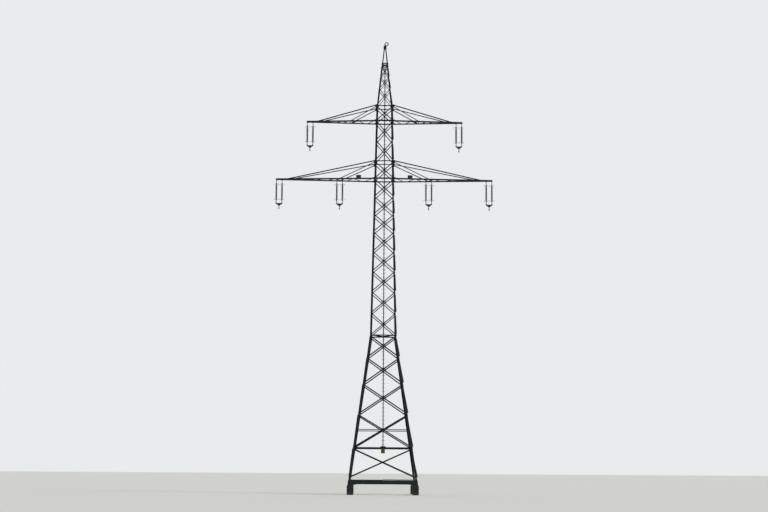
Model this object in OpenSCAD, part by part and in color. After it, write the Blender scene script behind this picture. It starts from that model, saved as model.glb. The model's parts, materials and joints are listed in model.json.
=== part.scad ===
// Lattice suspension pylon for a double 110 kV line, in millimetres.
// +X runs along the crossarms, +Y along the line, +Z up. The origin is on the ground, midway between the
// footings. The front face looks along -Y. Every face lattice is drawn flat, in the plane of its leg
// flanges, then tilted.

/* [Tower body] */
// Heel to heel width of the legs at ground level
ground_w = 5300; // [4800:50:5800]
// Heel to heel width at the waist
waist_w = 1880; // [1700:10:2100]
// Heel to heel width at the upper stay level
shaft_top_w = 1150; // [1050:10:1300]
// Heel to heel width at the bottom of the cage
cage_w = 470; // [430:10:560]
// Heel to heel width at the top of the cage
cage_top_w = 450; // [420:10:520]
// Heel to heel width under the cap block
spire_w = 200; // [180:10:240]
// Height of the first bracing joint above the ground
first_joint_z = 1200; // [1150:10:1300]
// Heights of the crossed panels of the splayed part, from the bottom up
lower_panels = [2190, 2460, 2250, 1950, 1650];
// Heights of the crossed panels of the shaft up to the lower arms
shaft_panels = [1700, 1600, 1550, 1500, 1500, 1350, 1350, 1350];
// Height from the lower arms to their stays
lower_stay_h = 1400; // [1300:50:1500]
// Heights of the two crossed panels between the lower stays and the upper arms
middle_panels = [1600, 1500];
// Height from the upper arms to their stays
upper_stay_h = 1250; // [1200:50:1350]
// Heights of the crossed panels of the peak
peak_panels = [1350, 950, 870];
// Height of the cage
cage_h = 240; // [200:10:400]
// Height of the bare bars above the cage
spire_h = 1140; // [900:10:1250]

/* [Legs] */
// Flange width of the splayed legs
lower_leg_b = 140; // [130:10:180]
// Thickness of the splayed legs
lower_leg_t = 14; // [12:1:20]
// Flange width of the shaft legs
shaft_leg_b = 90; // [85:5:120]
// Thickness of the shaft legs
shaft_leg_t = 10; // [9:1:12]
// Flange width of the peak legs
peak_leg_b = 80; // [75:5:90]
// Thickness of the peak legs
peak_leg_t = 8; // [7:1:10]

/* [Bracing] */
// Flange width of the diagonals of the splayed part
lower_diag_b = 80; // [70:5:90]
// Thickness of the diagonals of the splayed part
lower_diag_t = 8; // [6:1:10]
// Flange width of the shaft diagonals
shaft_diag_b = 65; // [60:5:70]
// Thickness of the shaft diagonals
shaft_diag_t = 7; // [5:1:8]
// Flange width of the peak diagonals
peak_diag_b = 45; // [40:1:50]
// Thickness of the peak diagonals
peak_diag_t = 5; // [4:1:6]
// Clearance between the ends of bars that meet on a leg
bar_gap = 6; // [4:1:12]

/* [Base] */
// Side of a concrete footing
footing_w = 460; // [420:10:520]
// Height of a concrete footing
footing_h = 640; // [560:10:700]
// Distance from the leg's heel to the outer side of the concrete
footing_edge = 50; // [40:5:80]
// Height of the base beam's underside
beam_z = 780; // [760:10:820]
// Depth of the base beam
beam_h = 300; // [260:10:320]
// Flange width of the base beam
beam_flange = 90; // [70:5:100]
// Plate thickness of the base beam
beam_t = 10; // [8:1:14]
// Length of the haunch plates under the base beam
haunch_l = 740; // [400:20:800]
// Height of the pale strips on the front beam
strip_h = 100; // [80:5:120]
// Thickness of the pale strips
strip_t = 8; // [6:1:10]
// Length of each pale strip
strip_l = 1080; // [900:20:1100]
// Gap between the two pale strips
strip_gap = 50; // [20:5:80]
// How far the pale strips stand above the beam's top edge
strip_rise = 50; // [20:10:60]
// Distance from the pale strips to the right leg's flange
strip_room = 150; // [100:10:200]

/* [Crossarms] */
// Distance of the lower arm's tip from the axis
lower_reach = 8240; // [8100:20:8600]
// Distance of the upper arm's tip from the axis
upper_reach = 5960; // [5900:20:6300]
// Half width of an arm at its tip
tip_half_w = 110; // [100:5:140]
// Flange width of the chords
chord_b = 100; // [90:5:110]
// Thickness of the chords
chord_t = 10; // [8:1:12]
// Flange width of the deck zigzag
deck_b = 50; // [45:1:60]
// Thickness of the deck zigzag
deck_t = 6; // [6:1:8]
// Number of zigzag bars in a lower arm
lower_deck_bars = 9; // [7:1:11]
// Number of zigzag bars in an upper arm
upper_deck_bars = 7; // [5:1:9]
// Height of the cross beams that carry the hangers
cross_h = 80; // [70:5:90]
// Flange width of the outer stays
outer_stay_b = 70; // [60:5:75]
// Flange width of the inner stays
inner_stay_b = 60; // [50:5:65]
// Thickness of the stays
stay_t = 7; // [5:1:8]
// Distance from the lower arm's tip to the foot of its outer stays
lower_stay_inset = 940; // [850:10:1200]
// Distance from the upper arm's tip to the foot of its outer stays
upper_stay_inset = 900; // [850:10:1100]
// Distance from the axis to the foot of the upper inner stays
upper_inner_stay_x = 2600; // [2300:50:2700]
// Thickness of the gusset plates
gusset_t = 12; // [10:1:16]
// Length of a stay gusset beyond the leg
gusset_l = 150; // [140:10:200]
// Depth of a stay gusset below the stay level
gusset_drop = 200; // [180:10:240]

/* [Suspension sets] */
// Distance from the lower arm's tip to the middle of its outer set
lower_set_inset = 260; // [250:10:350]
// Distance from the upper arm's tip to the middle of its set
upper_set_inset = 270; // [260:10:350]
// Distance from the axis to the inner sets, and to the foot of the stays above them
inner_set_x = 3390; // [3200:10:3600]
// Distance between the two strings of a set
string_gap = 430; // [400:10:460]
// Diameter of a hanger pin
pin_d = 20; // [16:1:24]
// Radial running clearance round a hanger pin
pin_clearance = 0.08; // [0.03:0.01:0.10]
// Distance from the chord's underside down to the hanger pin
pin_drop = 50; // [45:1:60]
// Thickness of a hanger lug
lug_t = 16; // [12:1:20]
// Length from the hanger pin to the top cap
link_l = 200; // [160:5:240]
// Width of the flat links between a set's fittings
link_w = 54; // [40:2:60]
// Height of a cap of an insulator
cap_h = 85; // [70:5:100]
// Diameter of a cap
cap_d = 95; // [85:1:105]
// Length of the porcelain between the caps
porcelain_l = 1170; // [1100:10:1250]
// Diameter of the porcelain core
core_d = 75; // [65:1:85]
// Diameter of the sheds
shed_d = 160; // [140:2:180]
// Number of sheds on a rod
sheds = 20; // [16:1:24]
// Length from the bottom cap to the yoke pin
lower_link_l = 200; // [170:5:230]
// Width of the yoke plate at its top
yoke_w = 520; // [500:10:560]
// Height of the yoke plate
yoke_h = 240; // [200:10:260]
// Thickness of the yoke plate
yoke_t = 16; // [12:1:20]
// Length from the yoke's lower pin to the conductor
clamp_drop = 240; // [220:10:300]
// Length of the suspension clamp
clamp_l = 200; // [180:5:240]
// Diameter of the conductor that the clamp holds
conductor_d = 22; // [18:1:28]
// Diameter of an arcing horn's bar
horn_d = 20; // [14:1:24]
// Reach of an arcing horn from its string
horn_reach = 160; // [140:5:190]

/* [Top and fittings] */
// Side of the cap block
cap_block_w = 200; // [170:10:220]
// Height of the cap block
cap_block_h = 290; // [240:10:320]
// Diameter of the swan-neck bar
hook_d = 70; // [60:2:84]
// Radius of the swan-neck's curl, to the bar's centre
hook_r = 125; // [95:5:140]
// Sideways distance of the curl from the axis
hook_x = 110; // [80:5:130]
// Height of the curl's centre above the cap block
curl_z = 134; // [120:2:150]
// Diameter of the earth wire
earth_wire_d = 16; // [12:1:20]
// Width of the ladder over its rungs
ladder_w = 300; // [300:10:400]
// Spacing of the rungs
rung_gap = 300; // [280:5:320]
// Diameter of a rung
rung_d = 20; // [18:1:26]
// Width of the ladder's stile
stile_w = 70; // [50:2:80]
// Depth of the ladder's stile
stile_d = 40; // [30:2:50]
// Clearance between the deepest horizontal and the stile
ladder_room = 10; // [8:1:30]
// Width of the shoe under the stile
shoe_w = 390; // [300:10:420]
// Width of the circuit plates
plate_w = 370; // [300:10:420]
// Height of the circuit plates
plate_h = 270; // [240:10:320]
// Distance of the circuit plates from the axis
plate_x = 1950; // [1600:50:2200]
// Width of the warning sign
sign_w = 280; // [250:10:320]
// Height of the warning sign
sign_h = 380; // [350:10:450]
// Thickness of the plates and the sign
sheet_t = 3; // [2:0.5:4]

/* [Hidden] */
$fn = 24;

// Clearance between pieces that fit between others
seat = 0.3;
// Paint between two faces that are bolted together
paint = 0.1;
// Overlap of pieces that make one solid
lap = 1;

steel = [0.10, 0.15, 0.16];
concrete = [0.07, 0.08, 0.09];
pale_zinc = [0.55, 0.57, 0.56];
dark_zinc = [0.16, 0.18, 0.19];
glaze = [0.16, 0.08, 0.05];
sign_yellow = [0.45, 0.42, 0.16];

function total(list, n, i = 0) = i >= n ? 0 : list[i] + total(list, n, i + 1);
function levels(z, list) = [for (i = [0:len(list)]) z + total(list, i)];

lower_z = levels(first_joint_z, lower_panels);
waist_z = lower_z[len(lower_panels)];
low_shaft_z = levels(waist_z, shaft_panels);
lower_chord_z = low_shaft_z[len(shaft_panels)];
lower_stay_z = lower_chord_z + lower_stay_h;
middle_z = levels(lower_stay_z, middle_panels);
upper_chord_z = middle_z[len(middle_panels)];
upper_stay_z = upper_chord_z + upper_stay_h;
shaft_z = concat(low_shaft_z, middle_z, [upper_stay_z]);
peak_z = levels(upper_stay_z, peak_panels);
cage_z = peak_z[len(peak_panels)];
cage_top_z = cage_z + cage_h;
spire_top_z = cage_top_z + spire_h;

// A tapered stretch of the tower: bottom and top height, half width at each, leg flange and leg thickness
lower_part = [0, waist_z, ground_w / 2, waist_w / 2, lower_leg_b, lower_leg_t];
shaft_part = [waist_z, upper_stay_z, waist_w / 2, shaft_top_w / 2, shaft_leg_b, shaft_leg_t];
peak_part = [upper_stay_z, cage_z, shaft_top_w / 2, cage_w / 2, peak_leg_b, peak_leg_t];
cage_part = [cage_z, cage_top_z, cage_w / 2, cage_top_w / 2, peak_leg_b, peak_leg_t];

function part_slope(part) = (part[2] - part[3]) / (part[1] - part[0]);
function part_tilt(part) = atan(part_slope(part));
function half_at(part, z) = part[2] - (z - part[0]) * part_slope(part);
// Distance up the tilted face, and half width there
function face_v(part, z) = (z - part[0]) / cos(part_tilt(part));
function face_u(part, v) = part[2] - v * sin(part_tilt(part));

// Draws in the plane of one face: x across, y up the slope, z outward. Sides are 0 front, 1 right, 2 rear,
// 3 left.
module on_face(part, side = 0)
    rotate([0, 0, 90 * side])
    translate([0, -part[2], part[0]])
    rotate([90 - part_tilt(part), 0, 0])
    children();

module angle_section(b, t)
    polygon([[-b / 2, 0], [b / 2, 0], [b / 2, b], [b / 2 - t, b], [b / 2 - t, t], [-b / 2, t]]);

// An angle bar lying on the plane z = 0 from p to q, run past both by past. out = 1 stands up from it, -1
// hangs below, and turn = -1 moves the standing flange to the bar's other edge.
module angle_bar(p, q, b, t, out = 1, past = 0, turn = 1) {
    run = q - p;
    translate([p[0], p[1], 0])
    rotate([0, 0, atan2(run[1], run[0])])
    mirror([0, 0, out > 0 ? 0 : 1])
    mirror([0, turn > 0 ? 0 : 1, 0])
    translate([-past, 0, 0])
    rotate([90, 0, 90])
    linear_extrude(norm(run) + 2 * past)
    angle_section(b, t);
}

// Legs: an angle at the +X +Y corner, whose flanges lie in the two tilted faces, cut level at both ends
module leg(part, z0, z1) {
    h = half_at(part, z0);
    lean = atan(sqrt(2) * part_slope(part));
    open = 45 + asin(pow(sin(part_tilt(part)), 2)) / 2;
    b = part[4];
    t = part[5];
    along = [-cos(open), sin(open)];
    inward = [-sin(open), -cos(open)];
    half_outline = [b * along, b * along + t * inward, [-t / sin(open), 0]];
    intersection() {
        translate([h, h, z0])
        rotate([0, -lean, 45])
        translate([0, 0, -b])
        linear_extrude((z1 - z0) / cos(lean) + 2 * b)
        polygon(concat([[0, 0]], half_outline,
            [for (p = [half_outline[1], half_outline[0]]) [p[0], -p[1]]]));
        translate([0, 0, z0])
        cube([h + b, h + b, z1 - z0]);
    }
}

// Level outline of such a leg, for one that bends
function corner_outline(h, b, t) =
    [[h, h], [h - b, h], [h - b, h - t], [h - t, h - t], [h - t, h - b], [h, h - b]];

// Joins level outlines of as many points into one solid, from the lowest up
module skew_prism(outlines, heights) {
    n = len(outlines[0]);
    last = len(heights) - 1;
    points = [for (k = [0:last], p = outlines[k]) [p[0], p[1], heights[k]]];
    sides = [for (k = [0:last - 1], i = [0:n - 1])
        [k * n + i, (k + 1) * n + i, (k + 1) * n + (i + 1) % n, k * n + (i + 1) % n]];
    polyhedron(points, concat([[for (i = [0:n - 1]) i]], [[for (i = [n - 1:-1:0]) last * n + i]], sides));
}

// Each corner is a quarter turn of the first
module corner(x, y)
    rotate([0, 0, x > 0 ? (y > 0 ? 0 : 270) : (y > 0 ? 90 : 180)])
    children();

module lower_leg(x, y)
    color(steel)
    corner(x, y)
    leg(lower_part, footing_h, waist_z);

module shaft_leg(x, y)
    color(steel)
    corner(x, y)
    leg(shaft_part, waist_z, upper_stay_z);

module peak_legs()
    color(steel)
    for (x = [-1, 1], y = [-1, 1])
        corner(x, y)
        skew_prism(
            [for (w = [shaft_top_w, cage_w, cage_top_w, spire_w])
                corner_outline(w / 2, peak_leg_b, peak_leg_t / cos(part_tilt(peak_part)))],
            [upper_stay_z, cage_z, cage_top_z, spire_top_z]
        );

// Distance of the bolt line from the heel, and how far a bar's end runs past its bolt
function gauge(part) = part[4] / 2 + 8;
bar_past = 22;
// How far the corner of a sloping bar's end reaches from its bolt
function end_reach(b) = 0.71 * bar_past + 0.71 * b / 2;

// One crossed panel: the outer bar lies on the leg flanges, the inner bar behind them, and a packing plate
// on the inner bar fills the gap at the crossing
module crossed_panel(part, z0, z1, below, above, b, t) {
    v0 = face_v(part, z0) + below;
    v1 = face_v(part, z1) - above;
    u0 = face_u(part, v0) - gauge(part);
    u1 = face_u(part, v1) - gauge(part);
    meet = v0 + (v1 - v0) * u0 / (u0 + u1);
    translate([0, 0, paint])
    angle_bar([-u0, v0], [u1, v1], b, t, 1, bar_past);
    translate([0, 0, -part[5] - paint])
    angle_bar([u0, v0], [-u1, v1], b, t, -1, bar_past);
    translate([-b / 2, meet - b / 2, -part[5] - paint])
    cube([b, b, part[5] + paint]);
}

// Height of the crossing of a panel, measured up the face
function crossing_v(part, z0, z1, below, above) =
    let (v0 = face_v(part, z0) + below, v1 = face_v(part, z1) - above)
    let (u0 = face_u(part, v0) - gauge(part), u1 = face_u(part, v1) - gauge(part))
    v0 + (v1 - v0) * u0 / (u0 + u1);

// A horizontal on the outside of the leg flanges, with its middle at the level
module girt(part, z, b, t, inset) {
    v = face_v(part, z);
    u = face_u(part, v + b / 2) - inset;
    translate([0, 0, paint])
    angle_bar([-u, v], [u, v], b, t);
}

// Room that a joint keeps clear of bar ends, above and below its level
function lower_room() = lower_diag_b / 2 + end_reach(lower_diag_b) + bar_gap;
function shaft_room() = shaft_diag_b / 2 + end_reach(shaft_diag_b) + bar_gap;
function peak_room() = peak_diag_b / 2 + end_reach(peak_diag_b) + bar_gap;
gusset_half = 90;
function arm_room() = gusset_half + end_reach(shaft_diag_b) + bar_gap;
function is_arm_level(z) =
    z == lower_chord_z || z == lower_stay_z || z == upper_chord_z || z == upper_stay_z;
function shaft_room_above(z) = z == lower_chord_z || z == upper_chord_z
    ? chord_b + end_reach(shaft_diag_b) + bar_gap
    : z == waist_z ? shaft_diag_b + end_reach(shaft_diag_b) + bar_gap
    : is_arm_level(z) ? arm_room() : shaft_room();
function shaft_room_below(z) = z == lower_stay_z || z == upper_stay_z ? arm_room() : shaft_room();
function peak_room_above(z) = z == upper_stay_z
    ? gusset_half + end_reach(peak_diag_b) + bar_gap
    : peak_room();

module lower_bracing(side)
    color(steel)
    on_face(lower_part, side) {
        for (i = [0:len(lower_panels) - 1])
            crossed_panel(lower_part, lower_z[i], lower_z[i + 1], lower_room(), lower_room(),
                lower_diag_b, lower_diag_t);
        girt(lower_part, lower_z[1], lower_diag_b, lower_diag_t, gauge(lower_part) - bar_past);
        tie();
    }

// The tie from leg to leg behind the crossing of the second panel, in two halves that stop short of the
// inner bar. Their outer ends keep clear of the next face's tie.
tie_b = 0.75 * lower_diag_b;
module tie() {
    part = lower_part;
    room = lower_room();
    v = crossing_v(part, lower_z[1], lower_z[2], room, room);
    v0 = face_v(part, lower_z[1]) + room;
    v1 = face_v(part, lower_z[2]) - room;
    rise = atan2(v1 - v0, face_u(part, v0) + face_u(part, v1) - 2 * gauge(part));
    start = (lower_diag_b / 2 + bar_gap + tie_b / 2 * cos(rise)) / sin(rise);
    end = face_u(part, v) - lower_leg_t - tie_b - bar_gap;
    translate([0, 0, -lower_leg_t - paint])
    for (x = [-1, 1])
        angle_bar([x * end, v], [x * start, v], tie_b, lower_diag_t, -1, 0, -x);
}

module shaft_bracing(side)
    color(steel)
    on_face(shaft_part, side)
    for (i = [0:len(shaft_z) - 2])
        crossed_panel(shaft_part, shaft_z[i], shaft_z[i + 1],
            shaft_room_above(shaft_z[i]), shaft_room_below(shaft_z[i + 1]), shaft_diag_b, shaft_diag_t);

module peak_bracing()
    color(steel)
    for (side = [0:3]) {
        on_face(peak_part, side)
        for (i = [0:len(peak_panels) - 1])
            crossed_panel(peak_part, peak_z[i], peak_z[i + 1], peak_room_above(peak_z[i]), peak_room(),
                peak_diag_b, peak_diag_t);
        on_face(cage_part, side) {
            for (z = [cage_z + peak_diag_b / 2, cage_top_z - peak_diag_b / 2])
                girt(cage_part, z, peak_diag_b, peak_diag_t, gauge(cage_part) - bar_past);
        }
    }

// Waist: a horizontal on each face, just above the kink, and a crossed diaphragm between the legs
module waist_frame()
    color(steel) {
        for (side = [0:3])
            on_face(shaft_part, side)
            girt(shaft_part, waist_z + shaft_diag_b / 2, shaft_diag_b, shaft_diag_t,
                gauge(shaft_part) - bar_past);
        diaphragm();
    }

// Crossed bars under horizontal corner plates that fit between the flanges of each leg
module diaphragm() {
    plate_z = waist_z + shaft_diag_b - gusset_t;
    in_corner = half_at(shaft_part, plate_z + gusset_t) - shaft_leg_t / cos(part_tilt(shaft_part)) - seat;
    bar_end = in_corner - shaft_leg_b / 2;
    translate([0, 0, plate_z]) {
        for (turn = [0:3])
            rotate([0, 0, 90 * turn])
            linear_extrude(gusset_t)
            polygon([[in_corner, in_corner], [in_corner - 2 * shaft_leg_b, in_corner],
                [in_corner, in_corner - 2 * shaft_leg_b]]);
        for (turn = [0, 1])
            rotate([0, 0, 90 * turn])
            angle_bar([-bar_end, -bar_end], [bar_end, bar_end], shaft_diag_b, shaft_diag_t, -1);
    }
}

module footings()
    color(concrete)
    for (x = [-1, 1], y = [-1, 1]) {
        middle = half_at(lower_part, footing_h) + footing_edge - footing_w / 2;
        translate([x * middle - footing_w / 2, y * middle - footing_w / 2, 0])
        cube([footing_w, footing_w, footing_h]);
    }

// Base beams: channels with the web on the leg flanges, coped flanges between the legs, haunches at the ends
module base_beam() {
    v0 = face_v(lower_part, beam_z);
    v1 = v0 + beam_h;
    foot = face_v(lower_part, footing_h) + 2 * beam_t;
    u0 = face_u(lower_part, v0) - bar_gap;
    u1 = face_u(lower_part, v1) - bar_gap;
    uf = face_u(lower_part, foot) - bar_gap;
    inner = face_u(lower_part, v1) - lower_leg_b - bar_gap;
    translate([0, 0, paint])
    linear_extrude(beam_t)
    polygon([
        [-uf, foot], [-uf + lower_leg_b, foot], [-u0 + haunch_l, v0],
        [u0 - haunch_l, v0], [uf - lower_leg_b, foot], [uf, foot], [u1, v1], [-u1, v1]
    ]);
    for (v = [v0, v1 - beam_t])
        translate([-inner, v, paint + beam_t - beam_flange])
        cube([2 * inner, beam_t, beam_flange]);
}

module base_frame()
    color(steel)
    for (side = [0:3])
        on_face(lower_part, side)
        base_beam();

module beam_edge_strips()
    color(pale_zinc)
    on_face(lower_part) {
        v = face_v(lower_part, beam_z) + beam_h - strip_h + strip_rise;
        u = face_u(lower_part, v) - lower_leg_b - strip_room;
        for (i = [0, 1])
            translate([u - strip_l - i * (strip_l + strip_gap), v, beam_t + 2 * paint])
            cube([strip_l, strip_h, strip_t]);
    }

// An arm: chord height, stay height, reach, feet of the outer and inner stay, middles of the sets and
// number of zigzag bars
lower_arm_sizes = [lower_chord_z, lower_stay_z, lower_reach, lower_reach - lower_stay_inset,
    inner_set_x, [lower_reach - lower_set_inset, inner_set_x], lower_deck_bars];
upper_arm_sizes = [upper_chord_z, upper_stay_z, upper_reach, upper_reach - upper_stay_inset,
    upper_inner_stay_x, [upper_reach - upper_set_inset], upper_deck_bars];

function arm_root(arm) = half_at(shaft_part, arm[0]);
// Plan angle of the chords, and the tilt of the plane that holds the leg's heel and the chord
function arm_turn(arm) = atan2(arm_root(arm) - tip_half_w, arm[2] - arm_root(arm));
function arm_tilt(arm) = atan(part_slope(shaft_part) * (cos(arm_turn(arm)) + sin(arm_turn(arm))));
function arm_s(arm, x) = (x - arm_root(arm)) / cos(arm_turn(arm));
function arm_half(arm, x) = arm_root(arm) - (x - arm_root(arm)) * tan(arm_turn(arm));
// The heel of the leg at the stay level, in the arm's plane
function stay_point(arm) =
    let (rise = arm[1] - arm[0], k = part_slope(shaft_part))
    let (back = k * (cos(arm_turn(arm)) - sin(arm_turn(arm))))
    [-rise * back, rise * sqrt(1 + 2 * k * k - back * back)];

// Draws in the plane of the right arm's front side: x along the chord, y up, z outward
module in_arm_plane(arm)
    translate([arm_root(arm), -arm_root(arm), arm[0]])
    rotate([90 - arm_tilt(arm), 0, arm_turn(arm)])
    children();

module both_sides() {
    children();
    mirror([0, 1, 0])
    children();
}

// The two parts of a bent gusset: one on the leg flange, one in the arm's plane
module leg_plate(z, v0, v1) {
    v = face_v(shaft_part, z);
    on_face(shaft_part)
    translate([0, 0, paint])
    linear_extrude(gusset_t)
    polygon([
        [face_u(shaft_part, v + v0) - girt_end, v + v0], [face_u(shaft_part, v + v0), v + v0],
        [face_u(shaft_part, v + v1), v + v1], [face_u(shaft_part, v + v1) - girt_end, v + v1]
    ]);
}
girt_end = 48;
bend_lap = 12;
// Where a chord starts beyond the leg, clear of the side girt
chord_start = chord_t + 0.1 * chord_b + bar_gap;

module chord(arm)
    in_arm_plane(arm)
    translate([chord_start, 0, 0])
    rotate([90, 0, 90])
    linear_extrude(arm_s(arm, arm[2]) - chord_start)
    polygon([
        [0, 0], [chord_b, 0], [chord_b, -chord_t], [chord_t, -chord_t], [chord_t, -chord_b], [0, -chord_b]
    ]);

module chord_root(arm) {
    leg_plate(arm[0], 0, chord_b);
    in_arm_plane(arm)
    translate([0, 0, paint])
    linear_extrude(gusset_t)
    polygon([[-bend_lap, 0], [2.6 * chord_b, 0], [2.6 * chord_b, 0.8 * chord_b], [chord_b, 1.5 * chord_b],
        [0, 1.5 * chord_b], [-bend_lap, chord_b]]);
}

// Zigzag of the deck, let halfway into the lower flanges of both chords. It ends some way before the tip.
deck_room = 8 * tip_half_w;
module deck(arm) {
    n = arm[6];
    x0 = arm_root(arm) + 2 * chord_b;
    x1 = arm[2] - deck_room;
    translate([0, 0, arm[0] + chord_t / 2])
    for (i = [0:n - 1]) {
        xa = x0 + (x1 - x0) * i / n + 0.8 * deck_b;
        xb = x0 + (x1 - x0) * (i + 1) / n - 0.8 * deck_b;
        y = i % 2 == 0 ? -1 : 1;
        angle_bar([xa, y * (arm_half(arm, xa) - chord_b / 2)],
            [xb, -y * (arm_half(arm, xb) - chord_b / 2)], deck_b, deck_t);
    }
}

// A cross beam between the chords with the lug and pin of one hanger
module hanger(arm, x) {
    half = arm_half(arm, x) - chord_t / 2;
    z = arm[0];
    translate([x - chord_t / 2, -half, z + 2 * lap])
    cube([chord_t, 2 * half, cross_h]);
    translate([x - cross_h / 2, -half, z + 2 * lap])
    cube([cross_h, 2 * half, chord_t]);
    lug(x, z);
}

// A lug with the hanger pin through it, and the size of the eye and of the pin's heads
lug_r = 1.35 * pin_d;
pin_head_d = 1.5 * pin_d;
pin_head_t = 6;
module lug(x, z) {
    translate([x - lug_t / 2, 0, 0])
    rotate([90, 0, 90])
    linear_extrude(lug_t) {
        translate([0, z - pin_drop])
        circle(lug_r);
        translate([-lug_r, z - pin_drop])
        square([2 * lug_r, pin_drop + cross_h / 2]);
    }
    translate([x, 0, z - pin_drop])
    rotate([0, 90, 0]) {
        cylinder(d = pin_d, h = pin_length(), center = true);
        for (s = [-1, 1])
            translate([0, 0, s * (pin_length() - pin_head_t) / 2])
            cylinder(d = pin_head_d, h = pin_head_t, center = true);
    }
}

// Cheeks of a clevis, and the gap on both sides of each
cheek_t = 9;
cheek_gap = 1.5;
function pin_length() = lug_t + 2 * (2 * cheek_gap + cheek_t + pin_head_t);

// How far the tip beam runs past the chords
tip_past = 5;

module arm_frame(arm) {
    both_sides() {
        chord(arm);
        chord_root(arm);
    }
    deck(arm);
    for (middle = arm[5], s = [-1, 1])
        hanger(arm, middle + s * string_gap / 2);
    translate([arm[2] - 1.5 * chord_t, -tip_half_w - tip_past, arm[0] + lap])
    cube([chord_t, 2 * (tip_half_w + tip_past), chord_b - 2 * lap]);
    batten(arm, arm[3]);
    if (arm[5][0] - arm[4] > 3 * string_gap && len(arm[5]) == 1)
        batten(arm, arm[4]);
}

module batten(arm, x) {
    half = arm_half(arm, x) - chord_t / 2;
    translate([x - deck_b / 2, -half, arm[0] + 2 * lap])
    cube([deck_b, 2 * half, chord_t]);
}

// The stays of one side of an arm, with their shared bent gusset, how far each runs past its bolts and how
// far the outer one's end lies above the stay point
stay_past = 40;
stay_lift = 10;
module stay_pair(arm) {
    top = stay_point(arm);
    foot_out = [arm_s(arm, arm[3]), chord_b / 2];
    foot_in = [arm_s(arm, arm[4]), chord_b / 2];
    in_arm_plane(arm)
    translate([0, 0, paint]) {
        angle_bar(foot_out, top + [gusset_l / 2, stay_lift], outer_stay_b, stay_t, 1, stay_past, -1);
        angle_bar(foot_in, top + [gusset_l / 2, -gusset_half], inner_stay_b, stay_t, 1, stay_past);
        linear_extrude(gusset_t)
        polygon([
            top + [-bend_lap, -gusset_half], top + [gusset_l / 4, -0.95 * gusset_drop],
            top + [0.6 * gusset_l, -gusset_drop], top + [gusset_l, -0.6 * gusset_drop],
            top + [gusset_l, stay_lift], top + [gusset_l / 2, gusset_half], top + [-bend_lap, gusset_half]
        ]);
    }
    leg_plate(arm[1], -gusset_half, gusset_half);
}

module arm_stays(arm)
    color(steel)
    both_sides()
    stay_pair(arm);

module arm(arm)
    color(steel)
    arm_frame(arm);

// Horizontals of the shaft at the chords and the stays
module arm_girts()
    color(steel)
    for (side = [0:3])
        on_face(shaft_part, side) {
            for (z = [lower_chord_z, upper_chord_z])
                girt(shaft_part, z + chord_b / 2, chord_b, chord_t, girt_end + 2);
            for (z = [lower_stay_z, upper_stay_z - shaft_diag_b / 2])
                girt(shaft_part, z, shaft_diag_b, shaft_diag_t, girt_end + 2);
        }

// Room round a pin in the yoke plate, and the thickness of the fork on it
yoke_edge = 35;
fork_t = 10;

// Suspension set, drawn with the middle of its hanger pins at the origin
cap_z = -link_l;
porcelain_z = cap_z - cap_h;
lower_cap_z = porcelain_z - porcelain_l;
yoke_pin_z = lower_cap_z - cap_h - lower_link_l;
yoke_foot_z = yoke_pin_z - yoke_h + 2 * yoke_edge;
conductor_z = yoke_foot_z - clamp_drop;

module both_strings()
    for (s = [-1, 1])
        translate([s * string_gap / 2, 0, 0])
        children();

// A clevis: length and half width of its cheeks, thickness of the bridge under them and of the flat link
cheek_l = 3.6 * pin_d;
cheek_r = 1.3 * pin_d;
bridge_t = 14;
link_t = 18;

module flat_link(z0, z1)
    translate([-link_w / 2, -link_t / 2, z0])
    cube([link_w, link_t, z1 - z0]);

module clevis() {
    inner = lug_t / 2 + cheek_gap;
    for (s = [-1, 1])
        translate([s * (inner + cheek_t / 2), 0, 0])
        rotate([90, 0, 90])
        linear_extrude(cheek_t, center = true)
        difference() {
            union() {
                circle(cheek_r);
                translate([-cheek_r, -cheek_l])
                square([2 * cheek_r, cheek_l]);
            }
            circle(pin_d / 2 + pin_clearance);
        }
    translate([-inner - cheek_t, -cheek_r, -cheek_l - bridge_t])
    cube([2 * (inner + cheek_t), 2 * cheek_r, bridge_t + lap]);
    flat_link(cap_z - lap, -cheek_l - bridge_t / 2);
}

module cap()
    rotate_extrude()
    polygon([
        [0, 0], [0.28 * cap_d, 0], [0.4 * cap_d, -0.2 * cap_h], [cap_d / 2, -0.45 * cap_h],
        [cap_d / 2, -cap_h], [0, -cap_h]
    ]);

// A horn bar through the cap, its ends turned towards the other cap
horn_tip = 60;
module horn_pair()
    translate([0, 0, -0.8 * cap_h]) {
        rotate([0, 90, 0])
        cylinder(d = horn_d, h = 2 * horn_reach, center = true, $fn = 8);
        for (s = [-1, 1])
            translate([s * horn_reach, 0, -horn_tip])
            cylinder(d = horn_d, h = horn_tip + horn_d / 2, $fn = 8);
    }

module upper_fitting() {
    clevis();
    translate([0, 0, cap_z]) {
        cap();
        horn_pair();
    }
}

module lower_fitting() {
    translate([0, 0, lower_cap_z - cap_h])
    mirror([0, 0, 1]) {
        cap();
        horn_pair();
    }
    flat_link(yoke_pin_z + yoke_edge + lap, yoke_pin_z + lower_link_l + lap);
    for (s = [-1, 1])
        translate([-cheek_r, s * (yoke_t + fork_t) / 2 - fork_t / 2, yoke_pin_z - yoke_edge])
        cube([2 * cheek_r, fork_t, 2 * yoke_edge + fork_t]);
    translate([-cheek_r, -yoke_t / 2 - fork_t, yoke_pin_z + yoke_edge])
    cube([2 * cheek_r, yoke_t + 2 * fork_t, fork_t]);
}

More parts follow.
